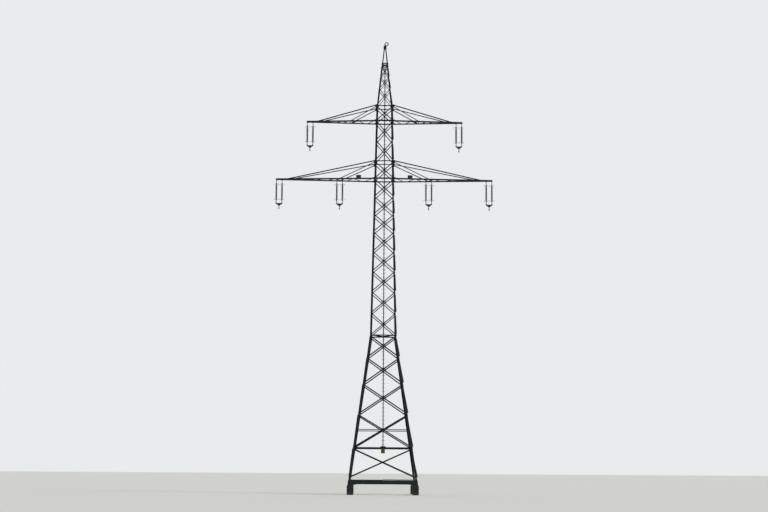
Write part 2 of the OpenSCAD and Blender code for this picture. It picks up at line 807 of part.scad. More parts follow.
// The yoke plate, with an ear round each of its upper pins
module yoke()
    translate([0, yoke_t / 2, 0])
    rotate([90, 0, 0])
    linear_extrude(yoke_t)
    polygon([
        [-yoke_w / 2, yoke_pin_z + yoke_edge], [-string_gap / 2 + yoke_edge, yoke_pin_z + yoke_edge],
        [-string_gap / 2 + 2 * yoke_edge, yoke_pin_z], [string_gap / 2 - 2 * yoke_edge, yoke_pin_z],
        [string_gap / 2 - yoke_edge, yoke_pin_z + yoke_edge], [yoke_w / 2, yoke_pin_z + yoke_edge],
        [yoke_w / 2, yoke_pin_z - yoke_edge], [1.2 * yoke_edge, yoke_foot_z - yoke_edge],
        [-1.2 * yoke_edge, yoke_foot_z - yoke_edge], [-yoke_w / 2, yoke_pin_z - yoke_edge]
    ]);

// Straps under the yoke
strap_t = 8;
strap_w = 50;
// The clamp's width, its top and foot from the conductor's middle, and half the height of its mouths
clamp_w = 44;
clamp_top = 40;
clamp_foot = 34;
clamp_lip = 18;
// Height of the loop over the clamp, above its conductor
loop_z = 48;

// Straps from the yoke, and the loop bolted under them that holds the suspension clamp
module clamp_straps() {
    loop_in = clamp_w / 2 + seat;
    loop_top = conductor_z + loop_z;
    strap_foot = loop_top + 2 * strap_t + paint;
    for (s = [-1, 1])
        translate([-strap_w / 2, s * (yoke_t + strap_t) / 2 - strap_t / 2, strap_foot])
        cube([strap_w, strap_t, yoke_foot_z + yoke_edge - strap_foot]);
    translate([-strap_w / 2, -yoke_t / 2 - strap_t, strap_foot])
    cube([strap_w, yoke_t + 2 * strap_t, 2 * strap_t]);
    for (s = [-1, 1])
        translate([s * (loop_in + strap_t / 2) - strap_t / 2, -strap_w / 2, conductor_z - 2 * strap_t])
        cube([strap_t, strap_w, loop_z + 4 * strap_t]);
    translate([-loop_in - strap_t, -strap_w / 2, loop_top])
    cube([2 * (loop_in + strap_t), strap_w, 2 * strap_t]);
}

// The clamp's body, a boat with flared ends round the conductor's bore
module clamp_body()
    translate([0, 0, conductor_z])
    difference() {
        translate([clamp_w / 2, 0, 0])
        rotate([90, 0, -90])
        linear_extrude(clamp_w)
        polygon([
            [-clamp_l / 2, -clamp_lip], [-clamp_l / 4, -clamp_foot],
            [clamp_l / 4, -clamp_foot], [clamp_l / 2, -clamp_lip],
            [clamp_l / 2, clamp_lip], [clamp_l / 4, clamp_top],
            [-clamp_l / 4, clamp_top], [-clamp_l / 2, clamp_lip]
        ]);
        rotate([90, 0, 0])
        cylinder(d = conductor_d, h = clamp_l + 2 * lap, center = true, $fn = 48);
    }

module fittings()
    color(dark_zinc) {
        both_strings() {
            upper_fitting();
            lower_fitting();
        }
        yoke();
        clamp_straps();
        clamp_body();
    }

// Porcelain rod: a core with evenly spaced sheds that slope on top
module long_rod() {
    pitch = porcelain_l / (sheds + 1);
    translate([0, 0, porcelain_z])
    rotate_extrude()
    polygon(concat(
        [[0, 0], [core_d / 2, 0]],
        [for (i = [1:sheds], p = [[core_d, -0.28], [shed_d, 0.16], [shed_d, 0.3], [core_d, 0.36]])
            [p[0] / 2, -(i + p[1]) * pitch]],
        [[core_d / 2, -porcelain_l], [0, -porcelain_l]]
    ));
}

module insulators()
    color(glaze)
    both_strings()
    long_rod();

function set_place(name) = name == "lower" ? [lower_arm_sizes[5][0], lower_chord_z - pin_drop]
    : name == "inner" ? [inner_set_x, lower_chord_z - pin_drop]
    : [upper_arm_sizes[5][0], upper_chord_z - pin_drop];

module at_set(name, side)
    translate([side * set_place(name)[0], 0, set_place(name)[1]])
    children();

module left()
    mirror([1, 0, 0])
    children();

// Top: cap plate and block on the four bars, the swan-neck and the earth wire clamp at its end
module earth_wire_bracket()
    color(steel) {
        translate([-spire_w / 2, -spire_w / 2, spire_top_z])
        cube([spire_w, spire_w, gusset_t]);
        translate([-cap_block_w / 2, -cap_block_w / 2, spire_top_z])
        cube([cap_block_w, cap_block_w, cap_block_h]);
        middle_z = spire_top_z + cap_block_h + curl_z;
        translate([hook_x, 0, middle_z])
        rotate([90, 0, 0])
        rotate([0, 0, -curl_start])
        rotate_extrude(angle = 180 + curl_start, $fn = 48)
        translate([hook_r, 0])
        circle(d = hook_d);
        translate([hook_x - hook_r * sin(curl_start - 90), 0, spire_top_z + cap_block_h - lap])
        cylinder(d = 1.5 * hook_d, h = curl_z - hook_r * cos(curl_start - 90) + foot_past + lap);
        earth_clamp(middle_z);
    }

// Angle from the level to the curl's lower end, and how far that end stands in a round foot on the block
curl_start = 130;
foot_past = 0.4 * hook_d;

// Length, width and height of the earth wire clamp
earth_clamp_l = 120;
earth_clamp_w = 56;
earth_clamp_h = 60;
// How far the earth wire lies under the clamp's middle
earth_wire_drop = 8;

module earth_clamp(middle_z)
    translate([hook_x - hook_r, 0, middle_z - earth_clamp_h / 2])
    difference() {
        cube([earth_clamp_w, earth_clamp_l, earth_clamp_h], center = true);
        translate([0, 0, -earth_wire_drop])
        rotate([90, 0, 0])
        cylinder(d = earth_wire_d, h = earth_clamp_l + 2 * lap, center = true, $fn = 48);
    }

// Ladder: one stile with rungs through it, carried off the crossing of each panel. Its points are (Y, Z), a
// distance off the front face: where two stretches meet, and square to a height on one stretch.
function off_kink(h, z, tilt_a, tilt_b, off) =
    let (mean = (tilt_a + tilt_b) / 2, reach = off / cos((tilt_a - tilt_b) / 2))
    [-h - reach * cos(mean), z + reach * sin(mean)];
function off_face(part, z, off) = off_kink(half_at(part, z), z, part_tilt(part), part_tilt(part), off);

ladder_off = chord_b + paint + ladder_room;
shoe_h = 60;
ladder_foot_z = lower_z[1] + lower_diag_b / 2 + shoe_h / 2;

function stile_side(off) = [
    off_face(lower_part, ladder_foot_z, off),
    off_kink(waist_w / 2, waist_z, part_tilt(lower_part), part_tilt(shaft_part), off),
    off_kink(shaft_top_w / 2, upper_stay_z, part_tilt(shaft_part), part_tilt(peak_part), off),
    off_kink(cage_w / 2, cage_z, part_tilt(peak_part), part_tilt(cage_part), off),
    off_face(cage_part, cage_top_z, off)
];

module stile() {
    inner = stile_side(ladder_off);
    outer = stile_side(ladder_off + stile_d);
    translate([-stile_w / 2, 0, 0])
    rotate([90, 0, 90])
    linear_extrude(stile_w)
    polygon(concat(outer, [for (i = [len(inner) - 1:-1:0]) inner[i]]));
}

module rungs(part, z0, z1) {
    v0 = face_v(part, z0);
    v1 = face_v(part, z1);
    for (v = [v0 + rung_gap / 2:rung_gap:v1 - rung_gap / 3])
        translate([0, v, ladder_off + stile_d / 2])
        rotate([0, 90, 0])
        cylinder(d = rung_d, h = ladder_w, center = true, $fn = 6);
}

// A short post on the crossing of a panel, with a flat bar behind the stile
bracket_foot = 22;
bracket_l = 1.2 * ladder_w;
bracket_b = 40;
bracket_t = 8;

module ladder_bracket(v, t) {
    z = t + 2 * paint;
    translate([-bracket_foot / 2, v - bracket_foot / 2, z])
    cube([bracket_foot, bracket_foot, ladder_off - z + lap]);
    translate([-bracket_l / 2, v - bracket_b / 2, ladder_off - bracket_t + 2 * lap])
    cube([bracket_l, bracket_b, bracket_t]);
}

// The shoe that the stile stands on, seated on the flange of the first horizontal
module ladder_shoe()
    translate([-shoe_w / 2, face_v(lower_part, lower_z[1]) + lower_diag_b / 2 + paint, lower_diag_b / 4])
    cube([shoe_w, shoe_h, ladder_off + stile_d - lower_diag_b / 4]);

module ladder()
    color(steel) {
        stile();
        on_face(lower_part) {
            ladder_shoe();
            rungs(lower_part, ladder_foot_z, waist_z);
            for (i = [1:len(lower_panels) - 1])
                ladder_bracket(
                    crossing_v(lower_part, lower_z[i], lower_z[i + 1], lower_room(), lower_room()),
                    lower_diag_t);
        }
        on_face(shaft_part) {
            rungs(shaft_part, waist_z, upper_stay_z);
            for (i = [0:len(shaft_z) - 2])
                ladder_bracket(crossing_v(shaft_part, shaft_z[i], shaft_z[i + 1],
                    shaft_room_above(shaft_z[i]), shaft_room_below(shaft_z[i + 1])), shaft_diag_t);
        }
        on_face(peak_part) {
            rungs(peak_part, upper_stay_z, cage_z);
            for (i = [0:len(peak_panels) - 1])
                ladder_bracket(
                    crossing_v(peak_part, peak_z[i], peak_z[i + 1], peak_room_above(peak_z[i]), peak_room()),
                    peak_diag_t);
        }
        on_face(cage_part)
        ladder_bracket(face_v(cage_part, cage_top_z - 0.6 * peak_diag_b), peak_diag_t);
    }

module circuit_plate(arm)
    in_arm_plane(arm)
    translate([arm_s(arm, plate_x) - plate_w / 2, chord_b / 2, paint])
    cube([plate_w, plate_h, sheet_t]);

module circuit_plates()
    color(dark_zinc) {
        circuit_plate(lower_arm_sizes);
        left()
        circuit_plate(lower_arm_sizes);
    }

// The sign hangs from the lower edge of the first horizontal
module warning_sign()
    color(sign_yellow)
    on_face(lower_part)
    translate([-sign_w / 2, face_v(lower_part, lower_z[1]) - lower_diag_b / 4 - sign_h,
        lower_diag_t + 2 * paint])
    cube([sign_w, sign_h, sheet_t]);

footings();
base_frame();
beam_edge_strips();
lower_leg(-1, -1);  // lower_leg_front_left
lower_leg(1, -1);  // lower_leg_front_right
lower_leg(-1, 1);  // lower_leg_rear_left
lower_leg(1, 1);  // lower_leg_rear_right
lower_bracing(0);  // lower_bracing_front
lower_bracing(1);  // lower_bracing_right
lower_bracing(2);  // lower_bracing_rear
lower_bracing(3);  // lower_bracing_left
waist_frame();
shaft_leg(-1, -1);  // shaft_leg_front_left
shaft_leg(1, -1);  // shaft_leg_front_right
shaft_leg(-1, 1);  // shaft_leg_rear_left
shaft_leg(1, 1);  // shaft_leg_rear_right
shaft_bracing(0);  // shaft_bracing_front
shaft_bracing(1);  // shaft_bracing_right
shaft_bracing(2);  // shaft_bracing_rear
shaft_bracing(3);  // shaft_bracing_left
arm_girts();
left() arm(lower_arm_sizes);  // lower_arm_left
arm(lower_arm_sizes);  // lower_arm_right
left() arm(upper_arm_sizes);  // upper_arm_left
arm(upper_arm_sizes);  // upper_arm_right
left() arm_stays(lower_arm_sizes);  // lower_stays_left
arm_stays(lower_arm_sizes);  // lower_stays_right
left() arm_stays(upper_arm_sizes);  // upper_stays_left
arm_stays(upper_arm_sizes);  // upper_stays_right
peak_legs();
peak_bracing();
earth_wire_bracket();
ladder();
circuit_plates();
warning_sign();
at_set("lower", -1) insulators();  // insulators_lower_left
at_set("inner", -1) insulators();  // insulators_inner_left
at_set("upper", -1) insulators();  // insulators_upper_left
at_set("lower", 1) insulators();  // insulators_lower_right
at_set("inner", 1) insulators();  // insulators_inner_right
at_set("upper", 1) insulators();  // insulators_upper_right
at_set("lower", -1) fittings();  // fittings_lower_left
at_set("inner", -1) fittings();  // fittings_inner_left
at_set("upper", -1) fittings();  // fittings_upper_left
at_set("lower", 1) fittings();  // fittings_lower_right
at_set("inner", 1) fittings();  // fittings_inner_right
at_set("upper", 1) fittings();  // fittings_upper_right
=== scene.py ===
# Lattice suspension pylon: finishes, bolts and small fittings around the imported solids, in metres.
import json
import random
from functools import partial
from math import atan, atan2, copysign, cos, pi, radians, sin, sqrt, tan

import bmesh
import bpy
from mathutils import Matrix, Vector


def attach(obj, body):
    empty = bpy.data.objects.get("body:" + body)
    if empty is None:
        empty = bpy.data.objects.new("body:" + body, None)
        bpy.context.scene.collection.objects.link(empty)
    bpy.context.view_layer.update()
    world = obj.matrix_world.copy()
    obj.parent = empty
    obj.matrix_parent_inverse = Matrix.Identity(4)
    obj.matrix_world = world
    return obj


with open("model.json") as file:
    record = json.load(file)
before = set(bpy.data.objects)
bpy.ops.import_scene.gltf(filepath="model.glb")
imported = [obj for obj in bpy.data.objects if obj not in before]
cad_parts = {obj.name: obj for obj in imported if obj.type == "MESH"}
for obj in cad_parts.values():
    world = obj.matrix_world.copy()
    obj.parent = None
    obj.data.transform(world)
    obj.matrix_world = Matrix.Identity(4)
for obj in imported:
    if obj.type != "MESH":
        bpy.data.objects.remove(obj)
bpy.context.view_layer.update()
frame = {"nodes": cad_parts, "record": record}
nodes = frame["nodes"]
dice = random.Random(7)

# Camera, at eye height in front of the tower, looking up at it
camera = {
    "place": (-1.25, -110.7, 1.65), "lens": 69.4, "sensor": 36.0, "clip": (1.0, 2000.0),
    "pitch": 8.304,  # degrees above the horizon
    "yaw": -0.6554,  # degrees to the left of +Y, so negative looks right
    "roll": 0.35,
}


def addObject(name, data):
    thing = bpy.data.objects.new(name, data)
    bpy.context.scene.collection.objects.link(thing)
    return thing


def makeCamera():
    data = bpy.data.cameras.new("camera")
    data.lens = camera["lens"]
    data.sensor_width = camera["sensor"]
    data.clip_start, data.clip_end = camera["clip"]
    place = Matrix.Translation(camera["place"])
    for angle, axis in ((camera["yaw"], "Z"), (90 + camera["pitch"], "X"), (camera["roll"], "Z")):
        place = place @ Matrix.Rotation(radians(angle), 4, axis)
    eye = addObject("camera", data)
    eye.matrix_world = place
    bpy.context.scene.camera = eye


makeCamera()
print("camera placed")


def linear(code):
    # sRGB hex to the linear colour that the nodes take
    parts = [int(code[i:i + 2], 16) / 255 for i in (1, 3, 5)]
    return [c / 12.92 if c <= 0.04045 else ((c + 0.055) / 1.055) ** 2.4 for c in parts] + [1.0]


def addNode(tree, kind, settings=None, links=None):
    # A setting is a property of the node, or one of its inputs by name or number, and a colour is a hex code.
    # A link comes from a socket, or from a node's first output.
    node = tree.nodes.new("ShaderNode" + kind)
    for name, value in (settings or {}).items():
        if isinstance(name, str) and hasattr(node, name):
            setattr(node, name, value)
        else:
            node.inputs[name].default_value = linear(value) if isinstance(value, str) else value
    for name, source in (links or {}).items():
        socket = source.outputs[0] if isinstance(source, bpy.types.Node) else source
        tree.links.new(socket, node.inputs[name])
    return node


def startTree(owner):
    # Clears the nodes of a material or world, and gives the function that adds to them
    owner.use_nodes = True
    owner.node_tree.nodes.clear()
    return partial(addNode, owner.node_tree)


def startMaterial(name):
    material = bpy.data.materials.new(name)
    add = startTree(material)
    return material, add, add("TexCoord").outputs["Object"]


def perMetre(millimetres):
    # Noise scale at which one feature is that wide
    return 1000 / millimetres


def drawRuns(add, place, width, length, detail):
    # Noise drawn out into runs, with their width and their upright length in millimetres
    scale = (perMetre(width), perMetre(width), perMetre(length))
    stretch = add("Mapping", {"Scale": scale}, {"Vector": place})
    return add("TexNoise", {"Scale": 1.0, "Detail": detail}, {"Vector": stretch})


# A fade is given as where it starts, where it is full and, if that isn't 1, how strong it then is
fade = ("From Min", "From Max", "To Max")


def layOnTop(add, under, colour, span):
    # Chalk or dust where a face looks up: how much of it there is, and the colour with it
    facing = add("SeparateXYZ", {}, {0: add("NewGeometry").outputs["Normal"]})
    cover = add("MapRange", dict(zip(fade, span)), {"Value": facing.outputs[2]})
    laid = add("Mix", {"data_type": "RGBA", 7: colour}, {0: cover, 6: under})
    return cover, laid.outputs[2]


def finishMaterial(add, finish, colour, relief, gloss=None):
    # Every finish ends alike: a colour, a relief in metres, and a roughness that follows a pattern
    strength, depth = finish["relief"]
    bump = add("Bump", {"Strength": strength, "Distance": depth}, {"Height": relief})
    links = {"Base Color": colour, "Normal": bump}
    if gloss:
        (start, end), (low, high) = finish.get("glossSpan", (0.0, 1.0)), finish["roughness"]
        span = {"From Min": start, "From Max": end, "To Min": low, "To Max": high}
        links["Roughness"] = add("MapRange", span, {"Value": gloss})
    add("OutputMaterial", {}, {"Surface": add("BsdfPrincipled", finish["shader"], links)})


# Micaceous iron oxide paint, brushed on hot-dip galvanised angle steel: a dark grey-green film, nearly matt,
# with rain runs down the bars, chalk where a face looks up and small rust specks where it was scratched
steelPaint = {
    "film": "#101c1f", "thin": "#0a1113", "chalk": "#364142", "rust": "#62402c",
    "shader": {"IOR": 1.5, "Specular IOR Level": 0.22},  # dusty, so it mirrors less than bare resin would
    "roughness": (0.46, 0.68), "glossSpan": (0.3, 0.7),
    "patch": 1600,  # millimetres between a shaded and a faded stretch
    "runWidth": 24, "runLength": 700, "runShare": 0.6, "filmSpan": (0.55, 1.05),
    "chalkSpan": (0.35, 1.0, 0.75), "speck": 16, "speckField": 420, "rustSpan": (0.36, 0.42, 0.9),
    "flake": 3, "flakeShare": 0.3,  # real flakes are 0.05 mm, drawn coarse so that they show
    "relief": (0.6, 0.0003),
}


def makeSteelPaint(name, wear):
    paint, noise = steelPaint, {}
    material, add, place = startMaterial(name)
    for key, detail in (("patch", 3.0), ("speckField", 2.0), ("speck", 5.0), ("flake", 1.0)):
        noise[key] = add("TexNoise", {"Scale": perMetre(paint[key]), "Detail": detail}, {"Vector": place})
    runs = drawRuns(add, place, paint["runWidth"], paint["runLength"], 4.0)
    tone = add("Math", {"operation": "MULTIPLY_ADD", 1: paint["runShare"]}, {0: runs, 2: noise["patch"]})
    spread = add("MapRange", dict(zip(fade, paint["filmSpan"])), {"Value": tone})
    film = add("Mix", {"data_type": "RGBA", 6: paint["thin"], 7: paint["film"]}, {0: spread})
    chalky = layOnTop(add, film.outputs[2], paint["chalk"], paint["chalkSpan"])[1]
    both = add("Math", {"operation": "MULTIPLY"}, {0: noise["speckField"], 1: noise["speck"]})
    start, full, most = paint["rustSpan"]
    rust = add("MapRange", dict(zip(fade, (start - wear, full - wear, most))), {"Value": both})
    final = add("Mix", {"data_type": "RGBA", 7: paint["rust"]}, {0: rust, 6: chalky}).outputs[2]
    relief = add("Math", {"operation": "MULTIPLY_ADD", 1: paint["flakeShare"]}, {0: noise["flake"], 2: runs})
    finishMaterial(add, paint, final, relief, runs)
    return material


# Cast concrete under brushed bitumen emulsion: almost black, with a dull sheen, brush drags, blow holes and
# dried mud splashed over its foot
bitumenCoat = {
    "coat": "#0f1113", "worn": "#212221", "mud": "#3a3328",
    "shader": {"IOR": 1.55, "Specular IOR Level": 0.3}, "roughness": (0.42, 0.8), "glossSpan": (0.35, 0.65),
    "drag": 9, "dragLength": 160,  # a brush mark lies across, so its width is its upright size
    "dragShare": 0.5, "hole": 22, "holeSpan": (0.0, 0.16), "wornField": 240, "wornSpan": (0.5, 0.68),
    "mudSpan": (0.16, -0.1, 0.9), "mudWaver": -0.2,  # in metres above the ground
    "relief": (0.8, 0.0015),
}


def makeBitumenCoat():
    paint = bitumenCoat
    material, add, place = startMaterial("brushed_bitumen_concrete")
    brush = drawRuns(add, place, paint["dragLength"], paint["drag"], 3.0)
    field = add("TexNoise", {"Scale": perMetre(paint["wornField"]), "Detail": 6.0}, {"Vector": place})
    worn = add("MapRange", dict(zip(fade, paint["wornSpan"])), {"Value": field})
    coat = add("Mix", {"data_type": "RGBA", 6: paint["coat"], 7: paint["worn"]}, {0: worn})
    level = add("SeparateXYZ", {}, {0: place}).outputs[2]
    edge = add("Math", {"operation": "MULTIPLY_ADD", 1: paint["mudWaver"]}, {0: field, 2: level})
    mud = add("MapRange", dict(zip(fade, paint["mudSpan"])), {"Value": edge})
    final = add("Mix", {"data_type": "RGBA", 7: paint["mud"]}, {0: mud, 6: coat.outputs[2]}).outputs[2]
    holes = add("TexVoronoi", {"Scale": perMetre(paint["hole"])}, {"Vector": place})
    pit = add("MapRange", dict(zip(fade, paint["holeSpan"])), {"Value": holes.outputs["Distance"]})
    relief = add("Math", {"operation": "MULTIPLY_ADD", 1: paint["dragShare"]}, {0: brush, 2: pit})
    finishMaterial(add, paint, final, relief, field)
    return material


# Hot-dip galvanised steel: zinc crystals that catch the light one by one when new, and a dull grey patina
# with darker stains once it has weathered
zincSkins = {
    # weathered_zinc: the pale strips on the front base beam, a galvanised grey that also serves as a painted
    # highlight of sunlight on the beam's top
    "weathered_zinc": {
        "name": "pale_strip_zinc_and_painted_highlight", "bright": "#7c7f7d", "dull": "#626664", "stain": "#4c4c49",
        "shader": {"Metallic": 0.55}, "roughness": (0.42, 0.62), "spangle": 12, "stainField": 160,
        "relief": (0.4, 0.0004)},
    "dark_zinc": {
        "name": "aged_galvanised_forging", "bright": "#33393b", "dull": "#1f2426", "stain": "#2a211b",
        "shader": {"Metallic": 0.6}, "roughness": (0.4, 0.6), "spangle": 8, "stainField": 90,
        "relief": (0.4, 0.0004)},
}
zincStain = (0.5, 0.72, 0.8)  # the fade of the stains


def makeZincSkin(skin):
    material, add, place = startMaterial(skin["name"])
    crystals = add("TexVoronoi", {"Scale": perMetre(skin["spangle"])}, {"Vector": place})
    grey = add("SeparateXYZ", {}, {0: crystals.outputs["Color"]})
    tone = add("Mix", {"data_type": "RGBA", 6: skin["dull"], 7: skin["bright"]}, {0: grey}).outputs[2]
    field = add("TexNoise", {"Scale": perMetre(skin["stainField"]), "Detail": 7.0}, {"Vector": place})
    stain = add("MapRange", dict(zip(fade, zincStain)), {"Value": field})
    final = add("Mix", {"data_type": "RGBA", 7: skin["stain"]}, {0: stain, 6: tone}).outputs[2]
    finishMaterial(add, skin, final, field, grey.outputs[1])
    return material


# Electrical porcelain in brown glaze, dipped and fired: a deep red-brown glass skin, thinner and lighter on
# the shed edges, with sharp highlights and a film of dust on top
brownGlaze = {
    "glaze": "#150e0d", "thin": "#241511", "dust": "#35302d", "dustSpan": (0.3, 1.0, 0.45),
    "shader": {"IOR": 1.52, "Specular IOR Level": 0.35, "Coat Weight": 0.25, "Coat Roughness": 0.06},
    "roughness": (0.08, 0.4), "pool": 60, "peel": 5, "relief": (0.15, 0.0003),
}


def makeBrownGlaze():
    glaze = brownGlaze
    material, add, place = startMaterial("fired_brown_glaze")
    pools = add("TexNoise", {"Scale": perMetre(glaze["pool"]), "Detail": 3.0}, {"Vector": place})
    body = add("Mix", {"data_type": "RGBA", 6: glaze["glaze"], 7: glaze["thin"]}, {0: pools}).outputs[2]
    dusty, colour = layOnTop(add, body, glaze["dust"], glaze["dustSpan"])
    peel = add("TexNoise", {"Scale": perMetre(glaze["peel"]), "Detail": 1.0}, {"Vector": place})
    finishMaterial(add, glaze, colour, peel, dusty)
    return material


# Vitreous enamel on sheet steel: a smooth, hard, slightly wavy colour with a clear gloss, dulled by dirt that
# gathers in faint downward streaks
enamels = {
    "circuit_enamel": {"name": "slate_vitreous_enamel", "face": "#151c20", "dirt": "#0d1012"},
    # The sign's face and dirt colours are a dull ochre-yellow enamel darkened with painted shade, as if the
    # sign hung out of the light
    "sign_enamel": {"name": "yellow_enamel_darkened_as_painted_shade", "face": "#453f1b", "dirt": "#2e2a15"},
    "tan_enamel": {"name": "dull_tan_vitreous_enamel", "face": "#4a3f2e", "dirt": "#2f2921"},
}
enamelFinish = {
    "shader": {"IOR": 1.5, "Specular IOR Level": 0.3}, "roughness": (0.25, 0.55),
    "streakWidth": 14, "streakLength": 520, "dirtSpan": (0.5, 0.85), "wave": 45, "relief": (0.25, 0.0006),
}


def makeEnamel(enamel):
    finish = enamelFinish
    material, add, place = startMaterial(enamel["name"])
    streaks = drawRuns(add, place, finish["streakWidth"], finish["streakLength"], 5.0)
    dirt = add("MapRange", dict(zip(fade, finish["dirtSpan"])), {"Value": streaks})
    final = add("Mix", {"data_type": "RGBA", 6: enamel["face"], 7: enamel["dirt"]}, {0: dirt}).outputs[2]
    wave = add("TexNoise", {"Scale": perMetre(finish["wave"]), "Detail": 0.0}, {"Vector": place})
    finishMaterial(add, finish, final, wave, dirt)
    return material


# Sulphur cement at the mouth of an insulator's cap: rough, pale grey and slightly stained
cementBead = {"face": "#8d8a82", "stain": "#5c5a54", "shader": {"IOR": 1.5, "Roughness": 0.9},
              "grit": 3, "field": 40, "relief": (0.5, 0.001)}


def makeCement():
    bead = cementBead
    material, add, place = startMaterial("pale_cement")
    field = add("TexNoise", {"Scale": perMetre(bead["field"]), "Detail": 5.0}, {"Vector": place})
    final = add("Mix", {"data_type": "RGBA", 6: bead["face"], 7: bead["stain"]}, {0: field}).outputs[2]
    grit = add("TexNoise", {"Scale": perMetre(bead["grit"]), "Detail": 2.0}, {"Vector": place})
    finishMaterial(add, bead, final, grit)
    return material


boltWear = 0.035  # bolts lose their paint sooner than the bars
finishes = {
    "painted_steel": makeSteelPaint("brushed_micaceous_paint", 0.0),
    "bolt_paint": makeSteelPaint("worn_paint_on_bolts", boltWear),
    "bitumen_concrete": makeBitumenCoat(),
    "brown_glaze": makeBrownGlaze(),
    "cement": makeCement(),
}
for skinSlot, skin in zincSkins.items():
    finishes[skinSlot] = makeZincSkin(skin)
for enamelSlot, enamel in enamels.items():
    finishes[enamelSlot] = makeEnamel(enamel)
for row in frame["record"]["subparts"]:
    for holder in nodes[row["node"]].material_slots:
        holder.material = finishes[row["material_slot"]]
print("finishes:", len(finishes))

# The tower's own sizes, as the solids have them
tower = {
    "groundHalf": 2.65, "waistHalf": 0.94, "shaftTopHalf": 0.575, "cageHalf": 0.235, "cageTopHalf": 0.225,
    "firstJoint": 1.2, "lowerPanels": [2.19, 2.46, 2.25, 1.95, 1.65],
    "shaftPanels": [1.7, 1.6, 1.55, 1.5, 1.5, 1.35, 1.35, 1.35],
    "lowerStayRise": 1.4, "middlePanels": [1.6, 1.5], "upperStayRise": 1.25,
    "peakPanels": [1.35, 0.95, 0.87], "cageHeight": 0.24, "spireHeight": 1.14,
    "barPast": 0.022,  # a bar's end beyond its first bolt
    "barGap": 0.006,
    "barSlant": 0.71,  # what a bar at 45 degrees covers, as a share
    "gaugeShift": 0.008,  # from the middle of a leg's flange to its line of bolts
}
armPlate = 0.09  # half height of a gusset on a leg
chordWidth = 0.1
m20, m16, m12, m8 = 0.02, 0.016, 0.012, 0.008  # threads of the bolts

# Legs and bars of each tier, and the bolts at a bar's end
sections = {
    "lower": {"flange": 0.14, "thick": 0.014, "bar": 0.08, "barThick": 0.008,
              "bolt": m20, "count": 2, "pitch": 0.06},
    "shaft": {"flange": 0.09, "thick": 0.01, "bar": 0.065, "barThick": 0.007,
              "bolt": m16, "count": 2, "pitch": 0.042},
    "peak": {"flange": 0.08, "thick": 0.008, "bar": 0.045, "barThick": 0.005,
             "bolt": m12, "count": 1, "pitch": 0},
}


def stackLevels(start, steps):
    heights = [start]
    for step in steps:
        heights.append(heights[-1] + step)
    return heights


lowerLevels = stackLevels(tower["firstJoint"], tower["lowerPanels"])
waistHeight = lowerLevels[-1]
shaftLevels = stackLevels(waistHeight, tower["shaftPanels"])
lowerChord = shaftLevels[-1]
lowerStay = lowerChord + tower["lowerStayRise"]
middleLevels = stackLevels(lowerStay, tower["middlePanels"])
upperChord = middleLevels[-1]
upperStay = upperChord + tower["upperStayRise"]
shaftLevels += middleLevels + [upperStay]
peakLevels = stackLevels(upperStay, tower["peakPanels"])
cageHeight = peakLevels[-1]
cageTop = cageHeight + tower["cageHeight"]
spireTop = cageTop + tower["spireHeight"]


def makeTier(section, low, high, halfLow, halfHigh):
    # One tapered tier of the tower: its slope, and where its bars end
    slope, bar = (halfLow - halfHigh) / (high - low), section["bar"]
    reach = tower["barSlant"] * tower["barPast"] + tower["barSlant"] * bar / 2
    return {
        **section, "low": low, "halfLow": halfLow, "slope": slope, "tilt": atan(slope),
        "gauge": section["flange"] / 2 + tower["gaugeShift"], "grip": section["thick"] + section["barThick"],
        "reach": reach, "room": bar / 2 + reach + tower["barGap"]}


lower = makeTier(sections["lower"], 0, waistHeight, tower["groundHalf"], tower["waistHalf"])
shaft = makeTier(sections["shaft"], waistHeight, upperStay, tower["waistHalf"], tower["shaftTopHalf"])
peak = makeTier(sections["peak"], upperStay, cageHeight, tower["shaftTopHalf"], tower["cageHalf"])
cage = makeTier(sections["peak"], cageHeight, cageTop, tower["cageHalf"], tower["cageTopHalf"])


def halfAt(tier, height):
    return tier["halfLow"] - (height - tier["low"]) * tier["slope"]


def upFace(tier, height):
    return (height - tier["low"]) / cos(tier["tilt"])


def acrossFace(tier, up):
    return tier["halfLow"] - up * sin(tier["tilt"])


def sideFrame(side, half, low, tilt=0.0):
    # Across, up and out of one side, tilted inwards: side 0 is the front, then right, rear and left
    return (
        Matrix.Rotation(radians(90 * side), 4, "Z") @ Matrix.Translation((0, -half, low))
        @ Matrix.Rotation(radians(90) - tilt, 4, "X"))


def faceFrame(tier, side):
    return sideFrame(side, tier["halfLow"], tier["low"], tier["tilt"])


xAxis, yAxis, zAxis = (Vector(row) for row in ((1, 0, 0), (0, 1, 0), (0, 0, 1)))


def addRings(shape, rings):
    # Rings of equally many points, with side faces between them and a cap at each end
    points, faces = shape
    start, ring = len(points), len(rings[0])
    for k in range(len(rings) - 1):
        for i in range(ring):
            a, b = start + k * ring + i, start + k * ring + (i + 1) % ring
            faces.append((a, b, b + ring, a + ring))
    faces.append(tuple(start + i for i in reversed(range(ring))))
    faces.append(tuple(start + (len(rings) - 1) * ring + i for i in range(ring)))
    for spots in rings:
        points += spots


def turns(count, shift=0.0):
    return [2 * pi * (i + shift) / count for i in range(count)]


def addTurned(shape, count, outline, axes=Matrix.Identity(4)):
    # A turned solid with that many sides: outline is (radius, height) from the bottom up
    addRings(shape, [
        [axes @ Vector((radius * cos(a), radius * sin(a), height)) for a in turns(count)]
        for radius, height in outline])


def addSlab(shape, axes, outline, low, high, ease=0.0015):
    # A flat plate with its upper edge eased, drawn in the plane of those axes
    corners = [Vector(corner) for corner in outline]
    middle = sum(corners, Vector((0, 0))) / len(corners)
    rings = []
    for height, inset in ((low, 0), (high - ease, 0), (high, ease)):
        spots = [corner + (middle - corner).normalized() * inset for corner in corners]
        rings.append([axes @ Vector((spot.x, spot.y, height)) for spot in spots])
    addRings(shape, rings)


